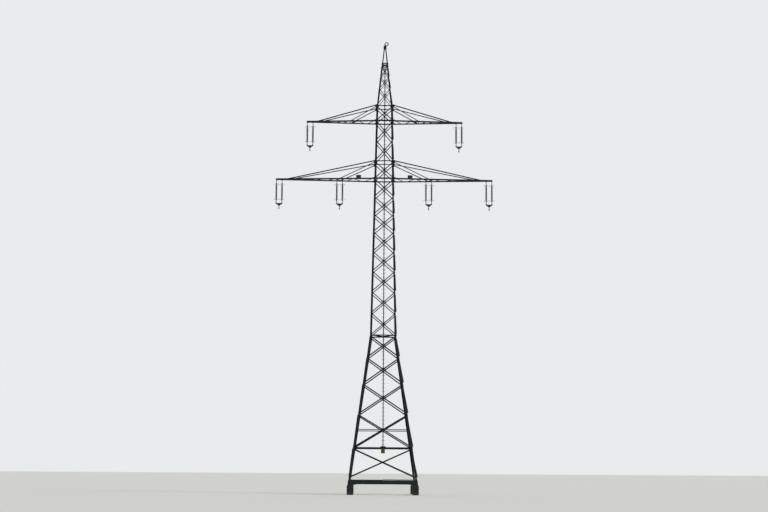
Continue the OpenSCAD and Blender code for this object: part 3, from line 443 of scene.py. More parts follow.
def addTube(shape, axes, path, radius, normal, count=8):
    # A round bar along a path that lies in one plane
    rings = []
    for k, spot in enumerate(path):
        way = (path[min(k + 1, len(path) - 1)] - path[max(k - 1, 0)]).normalized()
        side = normal.cross(way)
        rings.append([
            axes @ (spot + radius * (cos(a) * normal + sin(a) * side)) for a in turns(count)])
    addRings(shape, rings)


def box2(x0, x1, y0, y1):
    return [(x0, y0), (x1, y0), (x1, y1), (x0, y1)]


def addPiece(name, shape, finish="painted_steel", body="tower", smooth=False):
    points, faces = shape
    mesh = bpy.data.meshes.new(name)
    mesh.from_pydata([tuple(p) for p in points], [], faces)
    work = bmesh.new()
    work.from_mesh(mesh)
    bmesh.ops.recalc_face_normals(work, faces=work.faces)
    work.to_mesh(mesh)
    work.free()
    mesh.materials.append(finishes[finish])
    if smooth:
        mesh.shade_smooth()
    piece = addObject(name, mesh)
    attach(piece, body)


# A bolt's own parts, as shares of its thread: half over the hexagon's corners, the washer's radius and
# thickness, the head, the nut, the thread's end and the radius of its tip
boltShares = (0.866, 0.95, 0.16, 0.63, 0.8, 0.35, 0.4)
boltEase = 0.8  # how far up a head, a nut or an end its edge starts to slope, and how wide its face is


def boltShape(size, grip):
    # Hexagon bolt through a grip: head and washer above zero, washer, nut and thread end under the grip
    shape, ease = ([], []), boltEase
    hexagon, washer, thin, head, nut, end, tip = (share * size for share in boltShares)
    low = -grip - thin
    addTurned(shape, 10, [(washer, 0), (washer, thin)])
    addTurned(shape, 6, [(hexagon, thin), (hexagon, thin + ease * head), (ease * hexagon, thin + head)])
    addTurned(shape, 10, [(washer, low), (washer, -grip)])
    addTurned(shape, 6, [(ease * hexagon, low - nut), (hexagon, low - ease * nut), (hexagon, low)])
    addTurned(shape, 8, [(tip, low - nut - end), (size / 2, low - nut - ease * end), (size / 2, low - nut)])
    return shape


def boltPiece(name, bolts, finish="bolt_paint", body="tower"):
    # bolts holds (point, way out, size, grip) for each bolt
    points, faces, made = [], [], {}
    for point, out, size, grip in bolts:
        key = (round(size, 4), round(grip, 4))
        if key not in made:
            made[key] = boltShape(size, grip)
        turn = out.to_track_quat("Z", "Y").to_matrix().to_4x4()
        axes = Matrix.Translation(point) @ turn @ Matrix.Rotation(dice.uniform(0, pi), 4, "Z")
        shift = len(points)
        points += [axes @ p for p in made[key][0]]
        faces += [tuple(i + shift for i in face) for face in made[key][1]]
    addPiece(name, (points, faces), finish, body)


def addBolt(bolts, axes, across, up, out, size, grip):
    # A bolt at a point of a face, its head on the outside
    way = (axes.to_3x3() @ zAxis).normalized()
    bolts.append((axes @ Vector((across, up, out)), way, size, grip))


def endPair(bolts, axes, across, up, out, size, grip):
    # The same bolt at both ends of a horizontal
    for sign in (1, -1):
        addBolt(bolts, axes, sign * across, up, out, size, grip)


def barLine(bolts, axes, tier, start, finish, out):
    # Bolts along a bar from each of its ends
    start, finish = Vector(start), Vector(finish)
    way = (finish - start).normalized()
    for end, sense in ((start, 1), (finish, -1)):
        for k in range(tier["count"]):
            spot = end + way * tier["pitch"] * k * sense
            addBolt(bolts, axes, spot.x, spot.y, out, tier["bolt"], tier["grip"])


def panelRoom(tier, level, above):
    # From a level to where the bars of the panel above it, or below it, meet the leg
    if level in (lowerStay, upperStay):
        edge = armPlate
    elif above and level in (lowerChord, upperChord):
        edge = chordWidth
    elif above and level == waistHeight:
        edge = tier["bar"]
    else:
        return tier["room"]
    return edge + tier["reach"] + tower["barGap"]


def panelLines(tier, low, high):
    # A panel's bars on the legs' lines of bolts, at its foot and at its head, and the height where they cross
    v0 = upFace(tier, low) + panelRoom(tier, low, True)
    v1 = upFace(tier, high) - panelRoom(tier, high, False)
    u0, u1 = acrossFace(tier, v0) - tier["gauge"], acrossFace(tier, v1) - tier["gauge"]
    return u0, v0, u1, v1, v0 + (v1 - v0) * u0 / (u0 + u1)


def panelBolts(bolts, tier, side, low, high):
    axes, thick = faceFrame(tier, side), tier["barThick"]
    u0, v0, u1, v1, meet = panelLines(tier, low, high)
    barLine(bolts, axes, tier, (-u0, v0), (u1, v1), thick)
    barLine(bolts, axes, tier, (u0, v0), (-u1, v1), 0.0)
    if side:  # on the front the ladder's posts stand there
        addBolt(bolts, axes, 0, meet, thick, tier["bolt"], tier["grip"] + thick)
    return meet


def makeBracingBolts():
    crossings = []
    for side, sideName in enumerate(("front", "right", "rear", "left")):
        for name, tier, levels in (
                ("lower", lower, lowerLevels), ("shaft", shaft, shaftLevels), ("peak", peak, peakLevels)):
            bolts = []
            for low, high in zip(levels, levels[1:]):
                meet = panelBolts(bolts, tier, side, low, high)
                if side == 0:
                    crossings.append((tier, meet))
            boltPiece(f"{name}_bracing_bolts_{sideName}", bolts)
    return crossings


frontCrossings = makeBracingBolts()
print("bracing bolts:", len(frontCrossings), "panels a side")

# Bolts through the horizontals, the base beams and the tie, each with its distance from the leg's heel or the
# bar's end
fixings = {
    "girtEnd": 0.022, "girtPitch": 0.04, "armGirtEnd": 0.05, "armGirtBolt": 0.018, "armGirtHalf": 0.025,
    "armGirtThick": 0.01, "waistPitch": 0.028, "waistCorner": 0.068, "waistGrip": 0.019,
    "beamLow": 0.78, "beamThick": 0.0101, "beamColumns": (0.045, 0.105),
    "beamRows": (0.045, 0.115, 0.185, 0.255), "haunchRise": 0.02, "haunchRow": 0.05, "footingTop": 0.64,
    "tieBolt": 0.11, "tieBolts": (0.05, 0.12), "tieWidth": 0.06, "tieSplice": 0.16, "tieSpliceThick": 0.008,
    "tieSpliceGap": 0.005,
}


def girtEdge(tier, v, rise, inset):
    # Where a girt ends, short of the leg's edge at its own top
    return acrossFace(tier, v + rise / 2) - inset


def baseBolts(bolts, side):
    axes, out = faceFrame(lower, side), fixings["beamThick"]
    v0 = upFace(lower, fixings["beamLow"])
    foot = upFace(lower, fixings["footingTop"]) + fixings["haunchRise"] + fixings["haunchRow"]
    for column in fixings["beamColumns"]:
        for v in [v0 + row for row in fixings["beamRows"]] + [foot]:
            endPair(bolts, axes, acrossFace(lower, v) - column, v, out, m20, out + lower["thick"])


def tieBolts(bolts, splices, side):
    # The tie through the second panel's crossing, and the plates that splice it there
    axes, thick, bar = faceFrame(lower, side), lower["thick"], lower["bar"]
    u0, v0, u1, v1, v = panelLines(lower, lowerLevels[1], lowerLevels[2])
    endPair(bolts, axes, acrossFace(lower, v) - fixings["tieBolt"], v, 0, m16, lower["grip"])
    rise = atan2(v1 - v0, u0 + u1)
    half = fixings["tieWidth"] / 2
    start = (bar / 2 + tower["barGap"] + half * cos(rise)) / sin(rise)
    skin = fixings["tieSpliceThick"] - thick
    for sign in (1, -1):
        ends = sorted((sign * (bar / 2 + fixings["tieSpliceGap"]), sign * (start + fixings["tieSplice"])))
        addSlab(splices, axes, box2(*ends, v - half, v + half), -thick, skin)
    for along in fixings["tieBolts"]:
        endPair(bolts, axes, start + along, v, skin, m16, 2 * fixings["tieSpliceThick"])


def shaftGirtBolts(bolts, side):
    # Girts at the arms' chords and stays, and the waist
    axes, thick, bar = faceFrame(shaft, side), shaft["barThick"], shaft["bar"]
    for level in (lowerChord, upperChord):
        v = upFace(shaft, level + chordWidth / 2)
        end = girtEdge(shaft, v, chordWidth, fixings["armGirtEnd"]) - fixings["armGirtBolt"]
        for shift in (-fixings["armGirtHalf"], fixings["armGirtHalf"]):
            endPair(bolts, axes, end, v + shift, fixings["armGirtThick"], m16, 2 * fixings["armGirtThick"])
    for level in (lowerStay, upperStay - bar / 2):
        v = upFace(shaft, level)
        end = girtEdge(shaft, v, bar, fixings["armGirtEnd"]) - fixings["armGirtBolt"]
        endPair(bolts, axes, end, v, thick, m16, shaft["grip"])
    v = upFace(shaft, waistHeight + bar / 2)
    end = girtEdge(shaft, v, bar, shaft["gauge"])
    for across in (end, end - fixings["waistPitch"]):
        endPair(bolts, axes, across, v, thick, m16, shaft["grip"])


def makeFrameBolts():
    base, girts, cageBolts, splices = [], [], [], ([], [])
    for side in range(4):
        baseBolts(base, side)
        v = upFace(lower, lowerLevels[1])
        end = girtEdge(lower, v, lower["bar"], lower["gauge"]) + tower["barPast"]
        for k in range(2):
            across = end - fixings["girtEnd"] - k * fixings["girtPitch"]
            endPair(girts, faceFrame(lower, side), across, v, lower["barThick"], m16, lower["grip"])
        tieBolts(girts, splices, side)
        shaftGirtBolts(girts, side)
        bar = cage["bar"]
        for level in (cageHeight + bar / 2, cageTop - bar / 2):
            v = upFace(cage, level)
            across = girtEdge(cage, v, bar, cage["gauge"])
            endPair(cageBolts, faceFrame(cage, side), across, v, cage["barThick"], m12, cage["grip"])
    plateTop = waistHeight + shaft["bar"]
    corner = halfAt(shaft, plateTop) - shaft["thick"] - fixings["waistCorner"]
    for x in (corner, -corner):
        for y in (corner, -corner):
            girts.append((Vector((x, y, plateTop)), zAxis, m16, fixings["waistGrip"]))
    boltPiece("base_beam_bolts", base)
    boltPiece("girt_bolts", girts)
    boltPiece("cage_bolts", cageBolts)
    addPiece("tie_splice_plates", splices)


makeFrameBolts()

# Cover plates over the butt joints of the legs, between two panels' bars, and the corner plates of the cage
covers = {
    "lower": {"tier": lower, "middle": 6.975, "half": 0.27, "near": 0.012, "far": 0.126,
              "thick": 0.01, "columns": (0.042, 0.098), "rows": (0.06, 0.13, 0.2)},
    "shaft": {"tier": shaft, "middle": 17.3, "half": 0.2, "near": 0.01, "far": 0.084,
              "thick": 0.008, "columns": (0.047,), "rows": (0.045, 0.1, 0.155)},
}
cagePlate = {"far": 0.15, "near": 0.02, "cut": 0.05, "footShare": 0.3, "thick": 0.006}


def makeCovers(name, cover):
    shape, bolts, tier = ([], []), [], cover["tier"]
    v = upFace(tier, cover["middle"])
    for side in range(4):
        axes = faceFrame(tier, side)
        for sign in (1, -1):
            outline = []
            for shift, inset in ((-1, "far"), (-1, "near"), (1, "near"), (1, "far")):
                up = v + shift * cover["half"]
                outline.append((sign * (acrossFace(tier, up) - cover[inset]), up))
            addSlab(shape, axes, outline, 0, cover["thick"])
            for row in cover["rows"]:
                for up in (v - row, v + row):
                    for column in cover["columns"]:
                        across = sign * (acrossFace(tier, up) - column)
                        grip = cover["thick"] + tier["thick"]
                        addBolt(bolts, axes, across, up, cover["thick"], tier["bolt"], grip)
    addPiece(f"{name}_leg_covers", shape)
    boltPiece(f"{name}_leg_cover_bolts", bolts)


def makeCagePlates():
    shape, top, cut, inside = ([], []), upFace(cage, cageTop), cagePlate["cut"], -cage["thick"]
    for side in range(4):
        for sign in (1, -1):
            near = sign * (cage["halfLow"] - cagePlate["near"])
            far = sign * (cage["halfLow"] - cagePlate["far"])
            foot = far + (near - far) * cagePlate["footShare"]
            outline = [(far, cut), (foot, 0), (near, 0), (near, top), (far, top - cut)]
            addSlab(shape, faceFrame(cage, side), outline, inside - cagePlate["thick"], inside)
    addPiece("cage_corner_plates", shape)


for coverName, cover in covers.items():
    makeCovers(coverName, cover)
makeCagePlates()
print("frame bolts and covers done")

# Arms: what their bolts are placed by, as the solids have it
tipHalf = 0.11
arms = {
    "lower": {"chord": lowerChord, "stay": lowerStay, "reach": 8.24, "outer": 7.3, "inner": 3.39,
              "hangers": (7.98, 3.39), "bars": 9, "battens": (7.3,), "splice": 4.9},
    "upper": {"chord": upperChord, "stay": upperStay, "reach": 5.96, "outer": 5.06, "inner": 2.6,
              "hangers": (5.69,), "bars": 7, "battens": (5.06, 2.6), "splice": None},
}
arm = {
    "gusset": 0.0121, "chordThick": 0.01, "stayThick": 0.007, "gussetColumns": (0.06, 0.11, 0.16, 0.21),
    "gussetRows": (0.035, 0.065), "heel": 0.026, "footPitch": 0.05, "chordPlate": (0.03, 0.07),
    "stayPlate": (-0.062, 0.0, 0.062), "outerTop": (0.075, 0.01), "innerTop": (0.075, -armPlate),
    "deckStart": 2 * chordWidth, "deckEnd": 8 * tipHalf, "deckIn": 0.04, "deckTop": 0.011, "deckBolt": 0.018,
    "crossTop": 0.012, "crossHalf": 0.025, "tipAcross": 0.07, "tipRows": (0.03, 0.07), "tipIn": 0.005,
    "tipGrip": 0.01, "pinDrop": 0.05, "stringHalf": 0.215, "pinHalf": 0.026,
    "spliceHalf": 0.17, "spliceThick": 0.008, "spliceEdges": (0.014, 0.088), "spliceRows": (0.034, 0.068),
    "spliceColumns": (-0.14, -0.09, -0.04, 0.04, 0.09, 0.14),
}


def prepareArm(rule):
    slope = shaft["slope"]
    root = halfAt(shaft, rule["chord"])
    turn = atan2(root - tipHalf, rule["reach"] - root)
    tilt = atan(slope * (cos(turn) + sin(turn)))
    back = slope * (cos(turn) - sin(turn))
    rise = rule["stay"] - rule["chord"]
    rule["root"], rule["turn"] = root, turn
    rule["top"] = Vector((-rise * back, rise * sqrt(1 + 2 * slope ** 2 - back ** 2)))
    rule["axes"] = (
        Matrix.Translation((root, -root, rule["chord"]))
        @ Matrix.Rotation(turn, 4, "Z") @ Matrix.Rotation(pi / 2 - tilt, 4, "X"))


def armHalf(rule, x):
    return rule["root"] - (x - rule["root"]) * tan(rule["turn"])


def alongArm(rule, x):
    return (x - rule["root"]) / cos(rule["turn"])


def mirror(side, front=1.0):
    return Matrix.Diagonal((side, front, 1.0, 1.0))


def rootBolts(bolts, rule, flip):
    # Gussets of the chord and of the stays, on the leg and in the arm's plane, and the feet of the stays
    axes, face = flip @ rule["axes"], flip @ faceFrame(shaft, 0)
    gusset, chordThick, stayThick = (arm[key] for key in ("gusset", "chordThick", "stayThick"))
    for column in arm["gussetColumns"]:
        for row in arm["gussetRows"]:
            addBolt(bolts, axes, column, row, gusset, m16, gusset + chordThick)
    for level, rows in ((rule["chord"], arm["chordPlate"]), (rule["stay"], arm["stayPlate"])):
        for row in rows:
            v = upFace(shaft, level) + row
            across = acrossFace(shaft, v) - arm["heel"]
            addBolt(bolts, face, across, v, gusset, m16, gusset + shaft["thick"])
    for foot in ("outer", "inner"):
        low = Vector((alongArm(rule, rule[foot]), chordWidth / 2))
        high = rule["top"] + Vector(arm[foot + "Top"])
        way = (high - low).normalized() * arm["footPitch"]
        for k in range(2):
            spot = low + k * way
            addBolt(bolts, axes, spot.x, spot.y, stayThick, m16, stayThick + chordThick)
            spot = high - k * way
            addBolt(bolts, axes, spot.x, spot.y, gusset, m16, gusset)


def deckBolts(bolts, rule, flip):
    # Upright bolts of the zigzag, the cross beams and the battens, and the tip beam's
    out = flip.to_3x3() @ xAxis
    start, end = rule["root"] + arm["deckStart"], rule["reach"] - arm["deckEnd"]
    step = (end - start) / rule["bars"]
    inset, inward, deckTop = arm["deckIn"], chordWidth / 2, arm["deckTop"]
    for i in range(rule["bars"]):
        side = -1 if i % 2 == 0 else 1
        xa, xb = start + i * step + inset, start + (i + 1) * step - inset
        a = Vector((xa, side * (armHalf(rule, xa) - inward), rule["chord"] + deckTop))
        b = Vector((xb, -side * (armHalf(rule, xb) - inward), rule["chord"] + deckTop))
        way = (b - a).normalized() * arm["deckBolt"]
        for spot in (a + way, b - way):
            bolts.append((flip @ spot, zAxis, m12, deckTop))
    top = rule["chord"] + arm["crossTop"]
    crossings = [(x, 0) for x in rule["battens"]]
    for middle in rule["hangers"]:
        for s in (-1, 1):
            for shift in (-arm["crossHalf"], arm["crossHalf"]):
                crossings.append((middle + s * arm["stringHalf"], shift))
    for x, shift in crossings:
        for s in (-1, 1):
            spot = Vector((x + shift, s * (armHalf(rule, x) - inward), top))
            bolts.append((flip @ spot, zAxis, m12, arm["crossTop"]))
    for y in (-arm["tipAcross"], arm["tipAcross"]):
        for rise in arm["tipRows"]:
            spot = Vector((rule["reach"] - arm["tipIn"], y, rule["chord"] + rise))
            bolts.append((flip @ spot, out, m12, arm["tipGrip"]))


def pinBolts(bolts, rule, flip):
    # Head and castle nut at the two ends of each hanger pin
    out, half = flip.to_3x3() @ xAxis, arm["pinHalf"]
    for middle in rule["hangers"]:
        for s in (-1, 1):
            x = middle + s * arm["stringHalf"] + half
            bolts.append((flip @ Vector((x, 0, rule["chord"] - arm["pinDrop"])), out, m20, 2 * half))


def chordSplices(shape, bolts, rule, flip):
    axes = flip @ rule["axes"]
    s, half, thick = rule["splice"], arm["spliceHalf"], arm["spliceThick"]
    addSlab(shape, axes, box2(s - half, s + half, *arm["spliceEdges"]), 0, thick)
    for column in arm["spliceColumns"]:
        for up in arm["spliceRows"]:
            addBolt(bolts, axes, s + column, up, thick, m12, thick + arm["chordThick"])


def makeArmBolts(name, rule):
    prepareArm(rule)
    for side, sideName in ((1, "right"), (-1, "left")):
        bolts, pins, splices = [], [], ([], [])
        for front in (1, -1):
            rootBolts(bolts, rule, mirror(side, front))
            if rule["splice"]:
                chordSplices(splices, bolts, rule, mirror(side, front))
        deckBolts(bolts, rule, mirror(side))
        pinBolts(pins, rule, mirror(side))
        boltPiece(f"{name}_arm_bolts_{sideName}", bolts)
        boltPiece(f"{name}_hanger_nuts_{sideName}", pins, "dark_zinc")
        if rule["splice"]:
            addPiece(f"{name}_chord_splices_{sideName}", splices)


for armName, rule in arms.items():
    makeArmBolts(armName, rule)
print("arm bolts done")

# Ladder: bolts of its brackets beside the stile and at their ends, and of the shoe it stands on
ladder = {"off": 0.1101, "stile": 0.04, "bracketOut": 0.002, "bracketThick": 0.008, "bolts": (0.055, 0.16),
          "topDown": 0.027, "shoeRise": 0.0701, "shoeBolts": (0.09, 0.155), "shoeGrip": 0.01}


def makeLadderBolts():
    bolts = []
    out, thick = ladder["off"] + ladder["bracketOut"], ladder["bracketThick"]
    for tier, v in frontCrossings[1:] + [(cage, upFace(cage, cageTop - ladder["topDown"]))]:
        for across in ladder["bolts"]:
            endPair(bolts, faceFrame(tier, 0), across, v, out, m12, thick)
    v = upFace(lower, lowerLevels[1]) + ladder["shoeRise"]
    out = ladder["off"] + ladder["stile"]
    for across in ladder["shoeBolts"]:
        endPair(bolts, faceFrame(lower, 0), across, v, out, m16, ladder["shoeGrip"])
    boltPiece("ladder_bolts", bolts)


makeLadderBolts()

# Pale strips: button heads along the beam's top edge, in the pale zinc that also serves as a painted
# highlight of sunlight there
strips = {"rise": 0.25, "bolt": 0.025, "fromLeg": 0.29, "length": 1.08, "gap": 0.05, "face": 0.0182,
          "count": 6}


def makeStripBolts():
    bolts, length, face = [], strips["length"], strips["face"]
    v = upFace(lower, fixings["beamLow"]) + strips["rise"]
    right = acrossFace(lower, v) - strips["fromLeg"]
    for i in range(2):
        start = right - length - i * (length + strips["gap"])
        for k in range(strips["count"]):
            across = start + length * (k + 0.5) / strips["count"]
            addBolt(bolts, faceFrame(lower, 0), across, v + strips["bolt"], face, m12, face)
    boltPiece("strip_bolts", bolts, "weathered_zinc")


makeStripBolts()

# Footings: a hand-trowelled mortar cap that sheds the rain off the leg's foot, its rings given as shares of
# its rise and of its width
mortar = {"top": 0.64, "middle": 0.18, "half": 0.222, "rise": 0.036, "count": 32, "waver": 0.004,
          "squareness": 1.36, "lean": 0.16, "liftShare": 0.25,
          "rings": ((0.0, 1.0), (0.35, 0.99), (0.6, 0.93), (0.85, 0.72), (1.0, 0.5))}


def makeMortarCaps():
    shape, waver = ([], []), mortar["waver"]
    heel = halfAt(lower, mortar["top"])
    for x, y in ((1, 1), (1, -1), (-1, 1), (-1, -1)):
        rings = []
        for height, spread in mortar["rings"]:
            middle = heel - mortar["middle"] + (1 - spread) * mortar["lean"]
            rings.append([])
            for angle in turns(mortar["count"], 0.5):
                c, s = cos(angle), sin(angle)
                square = min(1 / max(abs(c), abs(s)), mortar["squareness"])
                reach = mortar["half"] * spread * square - dice.uniform(0, waver)
                lift = dice.uniform(-1, 1) * mortar["liftShare"] * waver * height
                level = mortar["top"] + (mortar["rise"] * height + lift)
                rings[-1].append(Vector((x * middle + reach * c, y * middle + reach * s, level)))
        addRings(shape, rings)
    addPiece("mortar_caps", shape, "bitumen_concrete", smooth=True)


makeMortarCaps()

# Sign: two flat straps behind it, a rolled rim and four screws
sign = {"width": 0.28, "height": 0.38, "drop": 0.02, "back": 0.0082, "thick": 0.003, "rim": 0.004,
        "corner": 0.012, "strapWidth": 0.03, "strapAcross": 0.09, "strapFoot": 0.02, "strapTop": 0.0405,
        "strapOut": (0.003, 0.008), "screwDown": 0.014, "screwUp": 0.035, "screwGrip": 0.009}


def addRim(shape, axes, half, low, high, rim, corner, count=5):
    # A rolled rim round a plate: a rounded rectangle, run once round and closed
    path, half, low, high = [], half - rim, low + rim, high - rim
    for x, y, start in ((half, low, 270), (half, high, 0), (-half, high, 90), (-half, low, 180)):
        middle = (x - copysign(corner, x), y + (corner if y == low else -corner))
        for k in range(count + 1):
            angle = radians(start + 90 * k / count)
            c, s = corner * cos(angle), corner * sin(angle)
            path.append(Vector((middle[0] + c, middle[1] + s, 0)))
    addTube(shape, axes, path + [path[0]], rim, zAxis)


def makeSignFixings():
    axes = faceFrame(lower, 0)
    girt = upFace(lower, lowerLevels[1])
    top = girt - sign["drop"]
    foot, face = top - sign["height"], sign["back"] + sign["thick"]
    straps, rolled, screws = ([], []), ([], []), []
    for x in (-sign["strapAcross"], sign["strapAcross"]):
        half = sign["strapWidth"] / 2
        strap = box2(x - half, x + half, foot + sign["strapFoot"], girt - sign["strapTop"])
        addSlab(straps, axes, strap, *sign["strapOut"])
    addPiece("sign_straps", straps, "dark_zinc")
    proud = axes @ Matrix.Translation((0, 0, face))
    addRim(rolled, proud, sign["width"] / 2, foot, top, sign["rim"], sign["corner"])
    addPiece("sign_rim", rolled, "sign_enamel", smooth=True)
    for v in (top - sign["screwDown"], foot + sign["screwUp"]):
        endPair(screws, axes, sign["strapAcross"], v, face, m8, sign["screwGrip"])
    boltPiece("sign_screws", screws, "dark_zinc")


makeSignFixings()

# Circuit plates: a bare tan band along the foot of each, a rolled rim, and rivets
circuit = {"middle": 1.95, "width": 0.37, "low": 0.05, "height": 0.27, "face": 0.0031, "corner": 0.012,
           "band": 0.05, "bandIn": 0.006, "bandThick": 0.0012, "bandEase": 0.0005, "rim": 0.003,
           "rivet": 0.007, "rivetIn": 0.02}


def makeCircuitFixings():
    rule, out, inset = arms["lower"], circuit["face"], circuit["bandIn"]
    s, half = alongArm(rule, circuit["middle"]), circuit["width"] / 2
    foot, high = circuit["low"], circuit["low"] + circuit["height"]
    bands, rims, bolts = ([], []), ([], []), []
    for side in (1, -1):
        axes = mirror(side) @ rule["axes"]
        outline = box2(s - half + inset, s + half - inset, foot + inset, foot + circuit["band"])
        addSlab(bands, axes, outline, out, out + circuit["bandThick"], circuit["bandEase"])
        proud = axes @ Matrix.Translation((s, 0, out))
        addRim(rims, proud, half, foot, high, circuit["rim"], circuit["corner"])
        for across in (s - half + circuit["rivetIn"], s + half - circuit["rivetIn"]):
            for up in (foot + 0.5 * circuit["band"], high - circuit["rivetIn"]):
                addBolt(bolts, axes, across, up, out, circuit["rivet"], out)
    addPiece("circuit_bands", bands, "tan_enamel")
    addPiece("circuit_rims", rims, "circuit_enamel", smooth=True)
    boltPiece("circuit_rivets", bolts, "dark_zinc")


makeCircuitFixings()
print("ladder, strips, caps and plates done")

# Top: cheek plates on the cap block, and the bolts of the clamp beside the hook
cap = {"half": 0.1, "cheek": (0.07, 0.035, 0.255), "thick": 0.008, "boltAcross": 0.045,
       "boltRows": (0.075, 0.215), "boltGrip": 0.02, "clampX": -0.015, "clampTop": 34.324,
       "clampBolt": (0.018, 0.045), "clampGrip": 0.06}


def makeTopDetails():
    cheeks, bolts = ([], []), []
    half, low, high = cap["cheek"]
    for side in range(4):
        axes = sideFrame(side, cap["half"], spireTop)
        addSlab(cheeks, axes, box2(-half, half, low, high), 0, cap["thick"])
        for up in cap["boltRows"]:
            endPair(bolts, axes, cap["boltAcross"], up, cap["thick"], m16, cap["boltGrip"])
    x, y = cap["clampBolt"]
    for sx in (-x, x):
        for sy in (-y, y):
            spot = Vector((cap["clampX"] + sx, sy, cap["clampTop"]))
            bolts.append((spot, zAxis, m12, cap["clampGrip"]))
    addPiece("cap_block_cheeks", cheeks)
    boltPiece("top_bolts", bolts)


makeTopDetails()

# Suspension sets, each measured down from its hanger pins
gear = {
    "string": 0.215, "capMouth": -0.285, "lowerMouth": -1.455, "cement": 0.0445, "cementOut": 0.006,
    "cementIn": 0.002, "hornLevels": (-0.268, -1.472), "hornReach": 0.16, "hornTip": 0.06,
    "ball": 0.016, "ballCuts": range(15, 180, 30), "capRadius": 0.0475,
    "yokePin": -1.74, "forkHalf": 0.018, "yokeFoot": -1.91, "strapHalf": 0.016, "clamp": -2.15,
    "trunnion": 0.0303, "uAcross": 0.0285, "uAlong": 0.042, "uRadius": 0.006, "uFoot": -0.0405, "uBend": 0.01,
    "uTop": 0.064, "keeper": (0.04, 0.014, 0.0405, 0.0495),
    "nut": [(0.0104, 0), (0.0104, 0.008), (0.0085, 0.0096)],  # radius and height
}
setPlaces = {"lower": (7.98, 23.55), "inner": (3.39, 23.55), "upper": (5.69, 28.05)}


def hornBalls(shape, axes):
    radius = gear["ball"]
    cuts = [radians(cut) for cut in gear["ballCuts"]]
    sphere = [(radius * sin(cut), -radius * cos(cut)) for cut in cuts]
    for level, way in zip(gear["hornLevels"], (-1, 1)):
        for s in (-1, 1):
            for reach in (-1, 1):
                x = s * gear["string"] + reach * gear["hornReach"]
                tip = Matrix.Translation((x, 0, level + way * gear["hornTip"]))
                addTurned(shape, 12, sphere, axes @ tip)


def cementRings(shape, axes):
    radius, out = gear["cement"], gear["cementOut"]
    for level, way in ((gear["capMouth"], -1), (gear["lowerMouth"], 1)):
        bead = [(radius, -gear["cementIn"] * way), (radius, out * way * 0.5), (0.9 * radius, out * way)]
        for s in (-1, 1):
            addTurned(shape, 24, bead, axes @ Matrix.Translation((s * gear["string"], 0, level)))


def clampUs(shape, axes):
    # Two U-bolts round the clamp's body, each with a keeper and two nuts over it
    x, bend, foot, top = gear["uAcross"], gear["uBend"], gear["uFoot"], gear["uTop"]
    half, depth, low, high = gear["keeper"]
    for y in (-gear["uAlong"], gear["uAlong"]):
        path = [Vector((-x, y, top))]
        for middle, start in ((-x + bend, 180), (x - bend, 270)):
            for k in range(5):
                angle = radians(start + 22.5 * k)
                c, s = bend * cos(angle), bend * sin(angle)
                path.append(Vector((middle + c, y, foot + bend + s)))
        path.append(Vector((x, y, top)))
        addTube(shape, axes, path, gear["uRadius"], yAxis)
        addSlab(shape, axes, box2(-half, half, y - depth, y + depth), low, high)
        for s in (-x, x):
            addTurned(shape, 6, gear["nut"], axes @ Matrix.Translation((s, y, high)))


def makeSetDetails(name, x, z):
    body = name + "_set"
    axes = Matrix.Translation((x, 0, z))
    details, cement = ([], []), ([], [])
    hornBalls(details, axes)
    clampUs(details, axes @ Matrix.Translation((0, 0, gear["clamp"])))
    addPiece(f"horn_balls_and_u_bolts_{name}", details, "dark_zinc", body, True)
    cementRings(cement, axes)
    addPiece(f"cement_rings_{name}", cement, "cement", body, True)
    string = gear["string"]
    fork, capHalf, strap, trunnion = (
        gear[key] for key in ("forkHalf", "capRadius", "strapHalf", "trunnion"))
    spots, bolts = [], []  # a spot is across, front, level, way out, size and half of the grip
    for s in (-string, string):
        spots.append((s, -fork, gear["yokePin"], -yAxis, m20, fork))
        for level in gear["hornLevels"]:
            spots.append((s, -capHalf, level, -yAxis, m12, capHalf))
    spots.append((0, -strap, gear["yokeFoot"], -yAxis, m16, strap))
    spots.append((trunnion, 0, gear["clamp"], xAxis, m16, trunnion))
    for across, front, level, way, size, half in spots:
        bolts.append((axes @ Vector((across, front, level)), way, size, 2 * half))
    boltPiece(f"set_bolts_{name}", bolts, "dark_zinc", body)


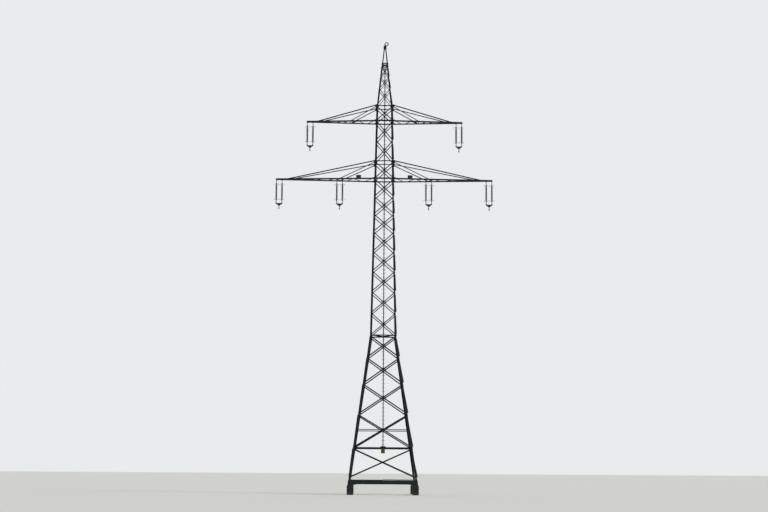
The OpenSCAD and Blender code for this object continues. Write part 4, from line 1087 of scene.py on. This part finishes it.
for side, sideName in ((-1, "left"), (1, "right")):
    for setName, (setX, setZ) in setPlaces.items():
        makeSetDetails(f"{setName}_{sideName}", side * setX, setZ)
print("suspension sets done")

# Stage: a pale floor that runs to the horizon, and soft light from a pale backdrop
stage = {
    "floor": "#dad9d4", "floorSize": 1500.0, "floorRough": 0.9,
    "backdrop": "#e9ebec", "fill": 0.62, "keyStrength": 1.5,
    "keyAngle": 25,  # degrees across the lamp, which sets how soft its shadow is
    "keyHeight": 48,
    "keyTurn": 62,  # degrees from the camera's side towards the right
}


def makeFloor():
    half = stage["floorSize"]
    mesh = bpy.data.meshes.new("floor")
    mesh.from_pydata([(x, y, 0) for x, y in box2(-half, half, -half, half)], [], [(0, 1, 2, 3)])
    floor = addObject("floor", mesh)
    material, add, place = startMaterial("studio_floor")
    shader = add("BsdfPrincipled", {"Roughness": stage["floorRough"], "Base Color": stage["floor"]})
    add("OutputMaterial", {}, {"Surface": shader})
    mesh.materials.append(material)


def makeLight():
    lamp = bpy.data.lights.new("key", "SUN")
    lamp.energy = stage["keyStrength"]
    lamp.angle = radians(stage["keyAngle"])
    key = addObject("key", lamp)
    key.rotation_euler = (radians(90 - stage["keyHeight"]), 0, radians(stage["keyTurn"]))


def makeBackdrop():
    # Full brightness where the camera, glass and gloss see it, and less where it only lights the tower
    world = bpy.data.worlds.new("backdrop")
    bpy.context.scene.world = world
    add = startTree(world)
    rays = add("LightPath").outputs
    seen = add("Math", {"operation": "MAXIMUM"}, {0: rays["Is Camera Ray"], 1: rays["Is Transmission Ray"]})
    mirrored = add("Math", {"operation": "MAXIMUM"}, {0: seen, 1: rays["Is Glossy Ray"]})
    strength = add("MapRange", {"To Min": stage["fill"], "To Max": 1.0}, {"Value": mirrored})
    backdrop = add("Background", {"Color": stage["backdrop"]}, {"Strength": strength})
    add("OutputWorld", {}, {"Surface": backdrop})


makeFloor()
makeLight()
makeBackdrop()
bpy.context.scene.view_settings.view_transform = "Standard"
print("stage lit")
